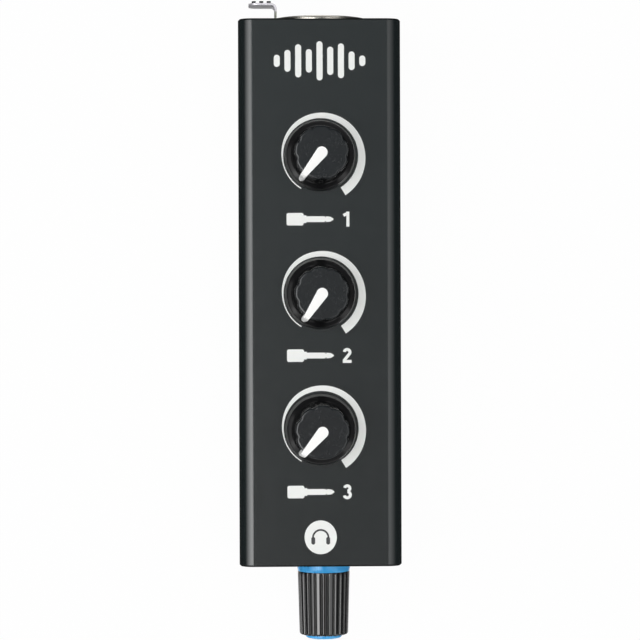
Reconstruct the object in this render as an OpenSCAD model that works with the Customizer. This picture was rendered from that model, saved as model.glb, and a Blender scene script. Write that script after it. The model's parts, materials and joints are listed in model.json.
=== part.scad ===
// Personal monitor mixer: an aluminium case with three input dials on its front,
// a ribbed volume knob at one end and a latching combination socket at the other.
// It lies on its rear face. The origin is the centre of that face, +Z points out
// of the front panel and +Y points toward the combination socket. Sizes are in mm.

/* [Case] */
// Width of the case across the front panel
case_w = 40.4; // [40:0.1:44]
// Length of the case from end to end
case_l = 136; // [136:1:146]
// Depth of the case from rear face to front panel
case_d = 36; // [36:0.5:40]
// Wall thickness of the front shell
wall = 2; // [1.8:0.1:2.2]
// Outer radius of the two long front edges
edge_r = 3.5; // [3:0.1:4]
// Chamfer round the shell's end edges
end_chamfer = 0.4; // [0.2:0.1:0.6]
// Thickness of each end plate
plate_t = 2.5; // [2.4:0.1:2.8]
// Depth of each end plate below the shell's end
plate_inset = 0.5; // [0.3:0.1:0.8]
// Thickness of the rear cover
cover_t = 2; // [1.9:0.1:2.2]
// Thickness of the tongues along the rear cover's sides
tongue_t = 0.8; // [0.6:0.1:0.9]
// Width of the tongues along the rear cover's sides
tongue_w = 0.8; // [0.6:0.1:1]
// Outer radius of the four screw ports inside the shell
port_r = 1.8; // [1.7:0.1:2]
// Distance from a plate screw's head to the end plate's edge
port_edge = 0.5; // [0.4:0.1:0.7]
// Gap between the screw ports and the pieces beside them
port_gap = 0.4; // [0.3:0.05:0.5]
// Clearance between fixed pieces that lie against each other
fit = 0.1; // [0.05:0.01:0.14]

/* [Screws] */
// Shank diameter of the countersunk screws
screw_d = 2; // [1.8:0.1:2.2]
// Head diameter of the countersunk screws
screw_head_d = 3.8; // [3.6:0.1:4]
// Length of the countersunk screws
screw_l = 8; // [6:0.5:9]
// Depth of a screw head below the plate's face
screw_sink = 0.1; // [0.05:0.05:0.2]

/* [Input dials] */
// Distance between neighbouring dials
dial_pitch = 33.9; // [33:0.1:35]
// Distance of the middle dial below the middle between the others
dial_drop = 0.3; // [0:0.05:0.5]
// Height of an input knob's top above the front panel
knob_h = 15; // [14:0.1:16]
// Gap under an input knob's skirt
knob_gap = 0.8; // [0.6:0.1:1]
// Diameter of an input knob's skirt at its base
skirt_d = 17.7; // [17:0.1:18.4]
// Distance of the skirt's rim inside its base
skirt_in = 0.5; // [0.3:0.05:0.6]
// Height of the skirt's rim above the front panel
skirt_h = 4; // [3.9:0.1:4.6]
// Diameter of an input knob's fluted top at its upper end
grip_d = 13.1; // [12.8:0.1:13.4]
// Diameter of an input knob's fluted top at the skirt
grip_base_d = 13.7; // [13.5:0.1:14]
// Number of places round the knob for flutes, one of them taken by the pointer
flute_count = 9; // [9:1:9]
// Radius of each flute
flute_r = 1.7; // [1.5:0.1:2]
// Depth of each flute
flute_depth = 0.4; // [0.3:0.05:0.55]
// Radius of the pointer's wide end on the knob's axis
pointer_wide_r = 1.4; // [1.2:0.1:1.6]
// Radius of the pointer's narrow end over the skirt
pointer_tip_r = 0.68; // [0.5:0.02:0.8]
// Distance of the pointer's narrow end from the knob's axis
pointer_reach = 7.5; // [7.2:0.1:7.6]
// Height of the pointer above the knob's top
pointer_proud = 0.2; // [0.1:0.05:0.3]
// Turn of each pointer at rest, left of straight up, in degrees
pointer_turn = [141.4, 146.6, 139.3];

/* [Pots] */
// Height of an input pot's body between board and panel
pot_h = 6.4; // [6.2:0.1:6.8]
// Width of an input pot's body
pot_w = 9.8; // [9.4:0.1:10.2]
// Length of an input pot's body
pot_l = 11.6; // [11:0.1:12]
// Diameter of every pot's threaded bushing
bushing_d = 6.9; // [6.8:0.1:7]
// Length of every pot's threaded bushing
bushing_l = 6.5; // [6.3:0.1:6.8]
// Diameter of every pot's shaft
shaft_d = 6; // [5.8:0.1:6]
// Radial running clearance of a shaft in its bushing
shaft_run = 0.05; // [0.03:0.01:0.08]
// Distance of the shaft's flat from its axis
shaft_flat = 1.5; // [1.3:0.1:2]
// Width across the flats of a pot's nut
nut_af = 10; // [9.6:0.1:10]
// Thickness of a pot's nut
nut_t = 2; // [1.8:0.1:2]
// Diameter of a pot's washer
washer_d = 10.4; // [10:0.1:11]
// Width of the volume pot's body
vol_pot_w = 9.6; // [9:0.1:10]
// Height of the volume pot's body
vol_pot_h = 11; // [10:0.1:11.6]
// Depth of the volume pot's body
vol_pot_t = 6.4; // [6:0.1:7]
// Setback of the volume pot's foot from its body's faces
vol_foot_in = 1.4; // [1:0.1:1.6]
// Thickness of a pot's washer
washer_t = 0.5; // [0.4:0.1:0.5]

/* [Volume knob] */
// Offset of the volume knob to the right of the case's centre
vol_x = 1.2; // [0.8:0.1:1.4]
// Gap between the bottom end plate and the knob's collar
vol_gap = 0.8; // [0.6:0.1:1]
// Diameter of the collar at its base
vol_collar_d = 14; // [13.6:0.1:14.2]
// Height of the collar's outer end above the end plate
vol_collar_h = 3.4; // [3.3:0.1:3.8]
// Diameter of the ribbed body where it meets the collar
vol_base_d = 13.2; // [13:0.1:13.4]
// Diameter of the ribbed body at its outer end
vol_tip_d = 12.3; // [12:0.1:12.5]
// Height of the ribbed body's outer end above the end plate
vol_h = 19.5; // [18:0.5:21]
// Number of grooves round the ribbed body
vol_grooves = 24; // [18:1:26]
// Radius of each groove
vol_groove_r = 0.5; // [0.4:0.05:0.55]
// Diameter of the cap in the knob's end
vol_cap_d = 9.3; // [8.8:0.1:9.6]
// Height of the cap's top above the ribbed body
vol_cap_rise = 0.9; // [0.6:0.1:1.1]

/* [Combination socket] */
// Diameter of the metal bezel
bezel_d = 25; // [24.8:0.1:26]
// Height of the bezel above the top end plate
bezel_h = 1.9; // [1.8:0.1:2.3]
// Diameter of the socket's barrel in the end plate
barrel_d = 24; // [23.8:0.1:24.2]
// Inner diameter of the bezel's sleeve, for the plug's shell
sleeve_d = 19.4; // [19.2:0.1:19.6]
// Wall of the bezel's sleeve
sleeve_wall = 0.5; // [0.4:0.1:0.6]
// Depth of the sleeve behind the end plate's face
sleeve_depth = 10; // [9.5:0.5:11]
// Diameter of the insert with the pin sockets
insert_d = 16; // [15.8:0.1:16.2]
// Diameter of the insert's narrow rear part
insert_tail_d = 12; // [11.6:0.1:12.2]
// Depth of the insert's face below the end plate's face
insert_face = 1.2; // [1:0.1:2]
// Diameter of the jack bore in the insert's middle
jack_d = 6.6; // [6.5:0.05:6.7]
// Depth of the jack bore's end behind the end plate's face
jack_depth = 31; // [30:0.5:32]
// Radius of the circle of pin sockets
pin_circle_r = 5; // [4.95:0.05:5.1]
// Outer diameter of a pin socket
pin_d = 2.4; // [2.2:0.1:2.4]
// Depth of a pin socket's rear end behind the end plate's face
pin_depth = 15.8; // [15:0.2:17]
// Wall of a pin socket
pin_wall = 0.35; // [0.3:0.05:0.4]
// Width of the socket's front block
block_w = 28; // [28:0.1:28.6]
// Height of the socket's front block
block_h = 26; // [26:0.1:26.6]
// Depth of the front block's rear face behind the end plate's face
block_depth = 22; // [22:0.2:23]
// Distance of the socket's screws from its block's narrow sides
socket_screw_side = 2; // [1.9:0.1:2.4]
// Distance of the socket's screws from its block's long sides
socket_screw_end = 3.5; // [3.3:0.1:3.8]
// Width of the socket's rear block
tail_w = 16; // [15:0.2:18]
// Distance of the socket's axis to the right of the case's middle
socket_x = 0.5; // [0:0.1:0.6]
// Depth of the rear block's end behind the end plate's face
tail_depth = 33; // [32.8:0.1:33.2]

/* [Latch] */
// Thickness of the latch's sheet metal
latch_t = 0.5; // [0.4:0.1:0.9]
// Width of the latch
latch_w = 8.6; // [8:0.2:9.2]
// Gap between the bezel's sleeve and the latch
latch_gap = 0.7; // [0.5:0.05:0.8]
// Distance of the push tab's tip from the socket's axis
tab_tip = 18; // [17:0.1:18.5]
// Height of the push tab's ribs above the end plate
tab_h = 6.3; // [6:0.1:7]
// Radius of the bend between stem and push tab
tab_bend_r = 1.4; // [1.2:0.1:1.6]
// Width of each grip rib across the push tab
tab_rib_w = 1; // [0.7:0.1:1.2]
// Height of a grip rib above the push tab's sheet
tab_rib_h = 0.5; // [0.3:0.1:0.6]
// Travel of the latch when it is pushed
latch_travel = 2; // [1.6:0.1:2.2]
// Clearance round the sliding latch
latch_run = 0.3; // [0.2:0.05:0.35]
// Radius of the latch spring's coil
spring_coil_r = 1.2; // [1:0.1:1.25]
// Radius of the latch spring's wire
spring_wire_r = 0.2; // [0.15:0.01:0.22]
// Turns of the latch spring
spring_turns = 4; // [3:1:5]

/* [Side and end jacks] */
// Bore diameter of the larger side jack
line_d = 6.6; // [6.5:0.05:6.7]
// Depth of the larger side jack's body
line_depth = 27; // [25:0.5:27.5]
// Width of the larger side jack's body
line_w = 12.4; // [12:0.1:13]
// Bore diameter of the small jacks
mini_d = 3.7; // [3.6:0.05:3.8]
// Depth of a small jack's body
mini_depth = 14; // [13:0.5:15]
// Width of a small jack's body
mini_w = 6.4; // [6.2:0.1:7]
// Height of a small jack's body
mini_h = 6; // [6:0.1:6.4]
// Gap between the headphone jack's body and the shell's left wall
phones_gap = 3.3; // [3:0.1:3.6]
// Gap between the charging socket and the shell's right wall
usb_gap = 0.3; // [0.2:0.1:0.5]
// Width of the charging socket's shell
usb_w = 9; // [8.9:0.1:9]
// Height of the charging socket's shell
usb_h = 3.2; // [3.1:0.1:3.3]
// Depth of the charging socket's shell
usb_depth = 7.4; // [7:0.1:8]
// Thickness of the charging socket's shell
usb_skin = 0.3; // [0.25:0.05:0.35]
// Diameter of the charge light
led_d = 1.8; // [1.6:0.1:1.9]

/* [Electronics] */
// Thickness of the main board
board_t = 1.6; // [1.5:0.1:1.7]
// Gap between the main board's edge and the shell
board_gap = 0.3; // [0.2:0.05:0.4]
// Length of each chip on the board
chip_l = 6; // [4:0.5:7]
// Width of each chip on the board
chip_w = 5; // [4:0.5:6]
// Thickness of each chip on the board
chip_t = 1.7; // [1.2:0.1:2]
// Diameter of each capacitor
cap_d = 5; // [4:0.5:5.5]
// Height of each capacitor
cap_h = 6.5; // [5:0.5:7]
// Distance of chips and capacitors from the board's long edges
parts_edge = 3.7; // [3:0.1:4.5]
// Distance between chips or capacitors and what lies beside them
parts_gap = 2; // [1.5:0.1:2.5]
// Length of the battery
cell_l = 62; // [56:1:64]
// Thickness of the battery
cell_t = 7.4; // [6:0.1:8]
// Thickness of the battery's foam tape
tape_t = 0.6; // [0.5:0.1:0.8]
// Diameter of each battery lead
lead_d = 1.2; // [1:0.1:1.4]
// Distance between the two battery leads
lead_pitch = 2.5; // [2:0.1:3]
// Bend radius of the battery leads
lead_bend = 3; // [2.4:0.1:3.2]
// Width of the battery plug
plug_w = 6.5; // [6:0.1:7]
// Length of the battery plug
plug_l = 5; // [4.5:0.1:5.5]
// Height of the battery plug
plug_h = 4.4; // [4:0.1:5]
// Offset of the battery plug to the left of the case's centre
plug_x = 4.75; // [4.5:0.05:5]

/* [View] */
// Which node to draw

/* [Hidden] */
$fn = 96;
eps = 0.02;
half_w = case_w / 2;
half_l = case_l / 2;
in_x = half_w - wall;
in_z = case_d - wall;
in_r = edge_r - wall;
axis_z = case_d / 2;
plate_out = half_l - plate_inset;
plate_in = plate_out - plate_t;
port_end = plate_in - fit;
port_x = in_x - fit - port_edge - screw_head_d / 2;
port_front_z = in_z - fit - port_edge - screw_head_d / 2;
port_rear_z = cover_t + port_r + 0.9;
tongue_z = 0.6;
board_top = in_z - fit - pot_h;
board_bottom = board_top - board_t;
board_x = in_x - board_gap;
board_y0 = -port_end + 0.2;
board_y1 = dial_pitch + 7.2;
web_t = 1.4;
recess_arm = screw_d / 2;
recess_half = 0.25;
recess_depth = (screw_head_d - screw_d) / 2 - 0.2;
rail_w = 1.2;
rail_t = 1.6;
dial_y = [dial_pitch, -dial_drop, -dial_pitch];
shaft_r = shaft_d / 2;
bushing_r = bushing_d / 2;
bore_gap = 0.05;
nut_r = nut_af / 2 / cos(30);
rotor_r = 3.9;
rotor_t = 2.5;
knob_bore_top = knob_h - 1.8;
shaft_top = knob_h - 2;
nut_top = washer_t + nut_t;
bushing_top = bushing_l - wall - fit;
grip_r = grip_d / 2;
grip_base_r = grip_base_d / 2;
grip_lean = atan((grip_base_r - grip_r) / (knob_h - skirt_h));
vol_bushing_top = bushing_l - plate_t - fit;
vol_base_r = vol_base_d / 2;
vol_tip_r = vol_tip_d / 2;
vol_lean = atan((vol_base_r - vol_tip_r) / (vol_h - vol_collar_h));
vol_shaft_top = vol_h - 3.5;
sleeve_r = sleeve_d / 2;
sleeve_out = sleeve_r + sleeve_wall;
insert_r = insert_d / 2;
tail_r = insert_tail_d / 2;
insert_step = block_depth - 2;
latch_in = sleeve_out + latch_gap;
latch_out = latch_in + latch_t;
tab_top = tab_h - tab_rib_h;
tab_rib_pitch = (tab_tip - latch_in - tab_bend_r) / 3;
latch_end = 16;
spring_end = latch_end + 4.4;
hook_top = 6.6;
hook_bottom = 8.5;
line_r = line_d / 2;
line_nose_r = line_r + 1.8;
line_set = 1.2;
mini_set = 0.8;
mini_r = mini_d / 2;
mini_nose_r = mini_r + 1.2;
line_z = board_bottom - fit - line_w / 2;
mini_z = board_bottom - fit - mini_h / 2;
usb_z = board_bottom - fit - usb_h / 2;
usb_x = in_x - usb_gap - usb_w / 2;
phones_x = in_x - phones_gap - mini_w / 2;
led_x = (vol_x - vol_pot_w / 2 - phones_x + mini_w / 2) / 2;
led_z = board_bottom - fit - led_d / 2 - 0.3;
cell_z = cover_t + tape_t;
cell_w = 2 * (port_x - port_r - port_gap);
part_x = board_x - parts_edge;
cap_x = part_x - cap_d / 2;
cap_pitch = cap_d + 1;
chip_y = dial_y[1] + line_w / 2 + parts_gap + chip_w / 2;
cell_y = -14;
lead_y = cell_y + cell_l / 2;

// Places a piece at the top end, its local Z pointing out of the end plate.
module at_top() {
  translate([0, plate_out, axis_z])
    rotate([-90, 0, 0])
      children();
}

// Places a piece on the combination socket's axis, its local Z pointing out.
module at_socket() {
  translate([socket_x, 0, 0])
    at_top()
      children();
}

// Places a piece at the bottom end, its local Z pointing out of the end plate.
module at_bottom(x, z) {
  translate([x, -plate_out, z])
    rotate([90, 0, 0])
      children();
}

// Places a piece at the right wall, its local Z pointing out of the wall.
module at_right(y, z) {
  translate([half_w, y, z])
    rotate([0, 90, 0])
      children();
}

// Places a piece on the front panel at one dial, its local Z pointing out.
module at_dial(n) {
  translate([0, dial_y[n], case_d])
    children();
}

// Upright cylinder between two heights.
module rod(r, z0, z1) {
  translate([0, 0, z0])
    cylinder(r = r, h = z1 - z0);
}

// Box between two corners.
module block(a, b) {
  translate(a)
    cube(b - a);
}

// Flat slot outline with round ends.
module slot_2d(w, h) {
  square([w - h, h], center = true);
  translate([-(w - h) / 2, 0])
    circle(h / 2);
  translate([(w - h) / 2, 0])
    circle(h / 2);
}

// Countersunk screw below the plane Z = 0.
module flat_screw() {
  difference() {
    rotate_extrude()
      screw_profile(0, screw_sink, screw_l);
    block([-recess_arm, -recess_half, -recess_depth - screw_sink], [recess_arm, recess_half, 1]);
    block([-recess_half, -recess_arm, -recess_depth - screw_sink], [recess_half, recess_arm, 1]);
  }
}

// Half outline of a countersunk screw or of the hole that takes it.
module screw_profile(gap, top, length) {
  head_r = screw_head_d / 2 + gap;
  shank_r = screw_d / 2 + gap;
  cone = head_r - shank_r;
  polygon([
    [0, -top], [head_r, -top], [shank_r, -top - cone],
    [shank_r, -length], [0, -length]
  ]);
}

// Hole for a countersunk screw, open above the plane Z = 0.
module screw_hole(length) {
  rotate_extrude()
    screw_profile(fit, screw_sink - fit, length);
  rod(screw_head_d / 2 + fit, -screw_sink - eps, 1);
}

// Places a child at each corner screw of an end plate.
module at_plate_screws() {
  for (x = [-port_x, port_x])
    for (z = [port_rear_z, port_front_z])
      translate([x, z - axis_z, 0])
        children();
}

// Solid with the outer form of the front shell: flat front and sides, round
// front edges, and a chamfer round both ends.
module shell_form() {
  c = end_chamfer;
  translate([-(half_w - edge_r), 0, 0])
    rotate([90, 0, 90])
      linear_extrude(case_w - 2 * edge_r)
        polygon([
          [-half_l, 0], [half_l, 0], [half_l, case_d - c], [half_l - c, case_d],
          [-half_l + c, case_d], [-half_l, case_d - c]
        ]);
  linear_extrude(case_d - edge_r)
    polygon([
      [-half_w + c, -half_l], [half_w - c, -half_l], [half_w, -half_l + c],
      [half_w, half_l - c], [half_w - c, half_l], [-half_w + c, half_l],
      [-half_w, half_l - c], [-half_w, -half_l + c]
    ]);
  for (side = [-1, 1])
    translate([side * (half_w - edge_r), half_l, case_d - edge_r])
      rotate([90, 0, 0])
        rotate_extrude()
          polygon([
            [0, 0], [edge_r - c, 0], [edge_r, c], [edge_r, case_l - c],
            [edge_r - c, case_l], [0, case_l]
          ]);
}

// Cross-section of the shell's inside, or of an end plate when gap is not zero.
module inside_2d(gap, low) {
  x = in_x - gap;
  z = in_z - gap;
  translate([-x, low])
    square([2 * x, z - in_r - low]);
  translate([-(x - in_r), low])
    square([2 * (x - in_r), z - low]);
  for (side = [-1, 1])
    translate([side * (x - in_r), z - in_r])
      circle(in_r);
}

// Extrudes a cross-section in X and Z along Y from y0 to y1.
module along_y(y0, y1) {
  translate([0, y1, 0])
    rotate([90, 0, 0])
      linear_extrude(y1 - y0)
        children();
}

module front_shell() {
  color([0.22, 0.23, 0.23])
    difference() {
      union() {
        difference() {
          shell_form();
          along_y(-half_l - 1, half_l + 1)
            inside_2d(0, -1);
        }
        for (side = [-1, 1]) {
          for (z = [port_front_z, port_rear_z])
            along_y(-port_end, port_end) {
              translate([side * port_x, z])
                circle(port_r);
              translate([side * (port_x + in_x + 0.1) / 2, z])
                square([in_x + 0.1 - port_x, web_t], center = true);
            }
          along_y(-port_end, port_end)
            translate([side * (in_x - rail_w / 2 + 0.1), board_top + fit + rail_t / 2])
              square([rail_w + 0.2, rail_t], center = true);
        }
      }
      for (side = [-1, 1]) {
        along_y(-half_l - 1, half_l + 1)
          translate([side * in_x, tongue_z + tongue_t / 2])
            square([2 * tongue_w, tongue_t + 2 * fit], center = true);
        for (z = [port_front_z, port_rear_z])
          along_y(-half_l - 1, half_l + 1)
            translate([side * port_x, z])
              circle(screw_d / 2 + bore_gap);
      }
      for (n = [0 : 2])
        at_dial(n)
          rod(bushing_r + 0.15, -wall - 1, 1);
      at_right(dial_y[1], line_z)
        rod(line_nose_r + 0.15, -wall - 1, 1);
      at_right(dial_y[2], mini_z)
        rod(mini_nose_r + 0.15, -wall - 1, 1);
    }
}

module rear_cover() {
  color([0.2, 0.21, 0.21])
    along_y(-port_end, port_end) {
      translate([-(in_x - fit), 0])
        square([2 * (in_x - fit), cover_t]);
      translate([-(in_x + tongue_w - fit), tongue_z])
        square([2 * (in_x + tongue_w - fit), tongue_t]);
    }
}

// End plate blank with its corner screw holes, its outer face at local Z = 0.
module plate_blank() {
  difference() {
    translate([0, -axis_z, -plate_t])
      linear_extrude(plate_t)
        inside_2d(fit, 0);
    at_plate_screws()
      screw_hole(plate_t + 1);
  }
}

module top_end_plate() {
  color([0.2, 0.21, 0.21])
    at_top()
      mirror([0, 1, 0])
        difference() {
          plate_blank();
          translate([socket_x, 0, 0]) {
            rod(barrel_d / 2 + fit, -plate_t - 1, 1);
            block([-latch_out - latch_run - 0.2, -latch_w / 2 - latch_run, -plate_t - 1],
                  [-latch_in, latch_w / 2 + latch_run, 1]);
            at_socket_screws()
              screw_hole(plate_t + 1);
          }
        }
}

module bottom_end_plate() {
  color([0.2, 0.21, 0.21])
    difference() {
      at_bottom(0, axis_z)
        plate_blank();
      at_bottom(vol_x, axis_z)
        rod(bushing_r + 0.15, -plate_t - 1, 1);
      at_bottom(-phones_x, mini_z)
        rod(mini_nose_r + fit, -plate_t - 1, 1);
      at_bottom(usb_x, usb_z)
        translate([0, 0, -plate_t - 1])
          linear_extrude(plate_t + 2)
            slot_2d(usb_w + 2 * fit, usb_h + 2 * fit);
      at_bottom(led_x, led_z)
        rod(led_d / 2 + fit, -plate_t - 1, 1);
    }
}

module top_plate_screws() {
  color([0.12, 0.12, 0.12])
    at_top()
      mirror([0, 1, 0])
        at_plate_screws()
          flat_screw();
}

module bottom_plate_screws() {
  color([0.12, 0.12, 0.12])
    at_bottom(0, axis_z)
      at_plate_screws()
        flat_screw();
}

module main_board() {
  color([0.1, 0.35, 0.2])
    difference() {
      block([-board_x, board_y0, board_bottom], [board_x, board_y1, board_top]);
      for (n = [0 : 2])
        for (x = [-2.5, 0, 2.5])
          translate([x, dial_y[n] - 4.4, 0])
            rod(0.6, board_bottom - 1, board_top + 1);
      for (x = [-5, 0, 5])
        translate([socket_x + x, board_y1 - 1.6, 0])
          rod(0.7, board_bottom - 1, board_top + 1);
    }
}

// One chip under the board.
module chip(x, y) {
  translate([x, y, board_bottom - chip_t / 2])
    cube([chip_l, chip_w, chip_t], center = true);
}

module board_chips() {
  color([0.08, 0.08, 0.09]) {
    chip(-part_x + chip_l / 2, -dial_pitch / 2);
    chip(-part_x + chip_l / 2, chip_y);
    chip(part_x - chip_l, chip_y);
    chip(-chip_l / 2, dial_y[2] - mini_w / 2 - parts_gap - cap_d);
  }
}

module board_capacitors() {
  color([0.12, 0.13, 0.2])
    for (p = [
      [-cap_x, dial_y[2] + cap_d], [-cap_x + cap_pitch, dial_y[2] + cap_d],
      [cap_x, dial_y[0] - 2 * cap_d], [cap_x - cap_pitch, dial_y[0] - 2 * cap_d],
      [cap_x - cap_pitch, dial_y[2] - mini_w / 2 - parts_gap - cap_d]
    ])
      translate([p[0], p[1], 0])
        rod(cap_d / 2, board_bottom - cap_h, board_bottom);
}

// Input pot: body on the board, bushing through the panel, cavity for the rotor.
module pot(n) {
  color([0.55, 0.56, 0.58])
    translate([0, dial_y[n], 0])
      difference() {
        union() {
          block([-pot_w / 2, -pot_l / 2, board_top], [pot_w / 2, pot_l / 2, board_top + pot_h]);
          rod(bushing_r, board_top + pot_h - 1, board_top + pot_h + bushing_l);
          for (x = [-2.5, 0, 2.5])
            translate([x, -4.4, 0])
              rod(0.4, board_bottom + fit, board_top + 0.5);
        }
        rod(rotor_r + 0.3, board_top + 1, board_top + rotor_t + 2.2);
        rod(shaft_r + shaft_run, board_top + 2, case_d + 20);
      }
}

module pot_washers() {
  color([0.7, 0.7, 0.68])
    for (n = [0 : 2])
      at_dial(n)
        difference() {
          rod(washer_d / 2, 0, washer_t);
          rod(bushing_r + bore_gap, -1, washer_t + 1);
        }
}

module pot_nuts() {
  color([0.7, 0.7, 0.68])
    for (n = [0 : 2])
      at_dial(n)
        difference() {
          translate([0, 0, washer_t])
            cylinder(r = nut_r, h = nut_t, $fn = 6);
          rod(bushing_r + bore_gap, 0, nut_top + 1);
        }
}

// Round bar with a flat along one side, between two heights.
module d_bar(r, flat, z0, z1) {
  intersection() {
    rod(r, z0, z1);
    block([-r - 1, -r - 1, z0 - 1], [r + 1, flat, z1 + 1]);
  }
}

module pot_shaft(n) {
  low = board_top + 1.5 - case_d;
  color([0.75, 0.75, 0.74])
    at_dial(n)
      rotate([0, 0, pointer_turn[n]])
        union() {
          rod(rotor_r, low, low + rotor_t);
          rod(shaft_r, low + 1, bushing_top + 0.2);
          d_bar(shaft_r, shaft_flat, bushing_top - 0.5, shaft_top);
        }
}

// Drop-shaped plan of the pointer: a wide and a narrow circle and their outer
// tangents, with its tip along +Y.
module drop_2d(gap) {
  r0 = pointer_wide_r + gap;
  r1 = pointer_tip_r + gap;
  s = (r0 - r1) / pointer_reach;
  c = sqrt(1 - s * s);
  circle(r0);
  translate([0, pointer_reach])
    circle(r1);
  polygon([
    [r0 * c, r0 * s], [r1 * c, pointer_reach + r1 * s],
    [-r1 * c, pointer_reach + r1 * s], [-r0 * c, r0 * s]
  ]);
}

// The pointer: a thin drop let into the knob's top, whose end runs down the
// grip's side to the skirt.
module pointer_form(gap) {
  top = knob_h + pointer_proud;
  foot = skirt_h + 0.4 - gap;
  intersection() {
    translate([0, 0, foot - 1])
      linear_extrude(knob_h)
        drop_2d(gap);
    rotate_extrude()
      polygon([
        [0, knob_h - 0.8 - gap], [grip_r - 1 - gap, knob_h - 0.8 - gap], [grip_r - 1 - gap, foot],
        [pointer_reach + pointer_tip_r + 0.1, foot], [grip_r + 0.9, knob_h - 0.4],
        [grip_r + 0.4, top], [0, top]
      ]);
  }
}

module pointer(n) {
  color([0.93, 0.93, 0.91])
    at_dial(n)
      rotate([0, 0, pointer_turn[n]])
        pointer_form(0);
}

// Half outline of the input knob: tapered skirt, sloping shoulder, tapered grip
// with a round top edge.
module knob_profile() {
  rim = 0.2;
  lip = 0.5;
  r = skirt_d / 2;
  top_r = r - skirt_in;
  polygon([
    [0, knob_gap], [r - 0.3, knob_gap], [r, knob_gap + 0.3], [top_r, skirt_h - rim],
    [top_r - rim, skirt_h], [grip_base_r + 0.3, skirt_h + 0.6], [grip_base_r, skirt_h + 1.1],
    [grip_r, knob_h - lip], [grip_r - lip, knob_h], [0, knob_h]
  ]);
  translate([top_r - rim, skirt_h - rim])
    circle(rim);
  translate([grip_r - lip, knob_h - lip])
    circle(lip);
}

module input_knob(n) {
  color([0.09, 0.09, 0.095])
    at_dial(n)
      rotate([0, 0, pointer_turn[n]])
        difference() {
          rotate_extrude()
            knob_profile();
          for (i = [1 : flute_count - 1])
            rotate([0, 0, i * 360 / flute_count])
              translate([0, grip_base_r + flute_r - flute_depth, skirt_h])
                rotate([grip_lean, 0, 0])
                  rod(flute_r, 1.3, knob_h);
          pointer_form(0.03);
          rod(nut_r + 0.4, knob_gap - 1, nut_top + 0.5);
          rod(bushing_r + 0.4, 0, bushing_top + 0.4);
          d_bar(shaft_r + bore_gap, shaft_flat + bore_gap, bushing_top, knob_bore_top);
        }
}

module volume_pot() {
  left = vol_x - vol_pot_w / 2;
  right = vol_x + vol_pot_w / 2;
  front = -plate_in + fit;
  back = front + vol_pot_t;
  low = axis_z - vol_pot_h / 2;
  high = axis_z + vol_pot_h / 2;
  color([0.55, 0.56, 0.58])
    difference() {
      union() {
        block([left, front, low], [right, back, high]);
        block([left, front + vol_foot_in, high - 1], [right, back - vol_foot_in, board_bottom]);
        at_bottom(vol_x, axis_z)
          rod(bushing_r, -plate_t - fit - 1, vol_bushing_top);
      }
      at_bottom(vol_x, axis_z) {
        rod(rotor_r + 0.3, -plate_t - fit - 5.2, -plate_t - fit - 1.5);
        rod(shaft_r + shaft_run, -plate_t - fit - 3, 40);
      }
    }
}

module volume_washer() {
  color([0.7, 0.7, 0.68])
    at_bottom(vol_x, axis_z)
      difference() {
        rod(washer_d / 2, 0, washer_t);
        rod(bushing_r + bore_gap, -1, washer_t + 1);
      }
}

module volume_nut() {
  color([0.7, 0.7, 0.68])
    at_bottom(vol_x, axis_z)
      difference() {
        translate([0, 0, washer_t])
          cylinder(r = nut_r, h = nut_t, $fn = 6);
        rod(bushing_r + bore_gap, 0, nut_top + 1);
      }
}

module volume_shaft() {
  low = -plate_t - fit - 4.7;
  color([0.75, 0.75, 0.74])
    at_bottom(vol_x, axis_z)
      union() {
        rod(rotor_r, low, low + rotor_t);
        rod(shaft_r, low + 1, vol_bushing_top + 0.2);
        d_bar(shaft_r, shaft_flat, vol_bushing_top - 0.5, vol_shaft_top);
      }
}

module volume_knob() {
  lip = 0.6;
  color([0.05, 0.05, 0.055])
    at_bottom(vol_x, axis_z)
      difference() {
        rotate_extrude() {
          polygon([
            [0, vol_collar_h], [vol_base_r, vol_collar_h], [vol_tip_r, vol_h - lip],
            [vol_tip_r - lip, vol_h], [0, vol_h]
          ]);
          translate([vol_tip_r - lip, vol_h - lip])
            circle(lip);
        }
        for (i = [0 : vol_grooves - 1])
          rotate([0, 0, (i + 0.5) * 360 / vol_grooves])
            translate([0, vol_base_r + vol_groove_r * 0.15, vol_collar_h])
              rotate([vol_lean, 0, 0])
                rod(vol_groove_r, 0.5, vol_h);
        rod(vol_cap_d / 2 + bore_gap, vol_h - 1, vol_h + 1);
        rod(bushing_r + 0.4, 0, vol_bushing_top + 0.4);
        d_bar(shaft_r + bore_gap, shaft_flat + bore_gap, vol_bushing_top, vol_shaft_top + 0.3);
      }
}

module volume_collar() {
  hole = nut_r + 0.3;
  color([0.1, 0.45, 0.9])
    at_bottom(vol_x, axis_z)
      rotate_extrude()
        polygon([
          [hole, vol_gap], [vol_collar_d / 2, vol_gap], [vol_base_r, vol_collar_h],
          [bushing_r + 0.4, vol_collar_h], [bushing_r + 0.4, nut_top + 0.4], [hole, nut_top + 0.4]
        ]);
}

module volume_cap() {
  r = vol_cap_d / 2;
  lip = 0.6;
  color([0.1, 0.45, 0.9])
    at_bottom(vol_x, axis_z)
      rotate_extrude() {
        polygon([
          [0, vol_h - 1], [r, vol_h - 1], [r, vol_h + vol_cap_rise - lip],
          [r - lip, vol_h + vol_cap_rise], [0, vol_h + vol_cap_rise]
        ]);
        translate([r - lip, vol_h + vol_cap_rise - lip])
          circle(lip);
      }
}

// Places a child at each of the two screws that hold the socket, in the frame
// of the top end plate as seen from outside.
module at_socket_screws() {
  translate([block_w / 2 - socket_screw_side, block_h / 2 - socket_screw_end, 0])
    children();
  translate([-block_w / 2 + socket_screw_side, -block_h / 2 + socket_screw_end, 0])
    children();
}

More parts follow.
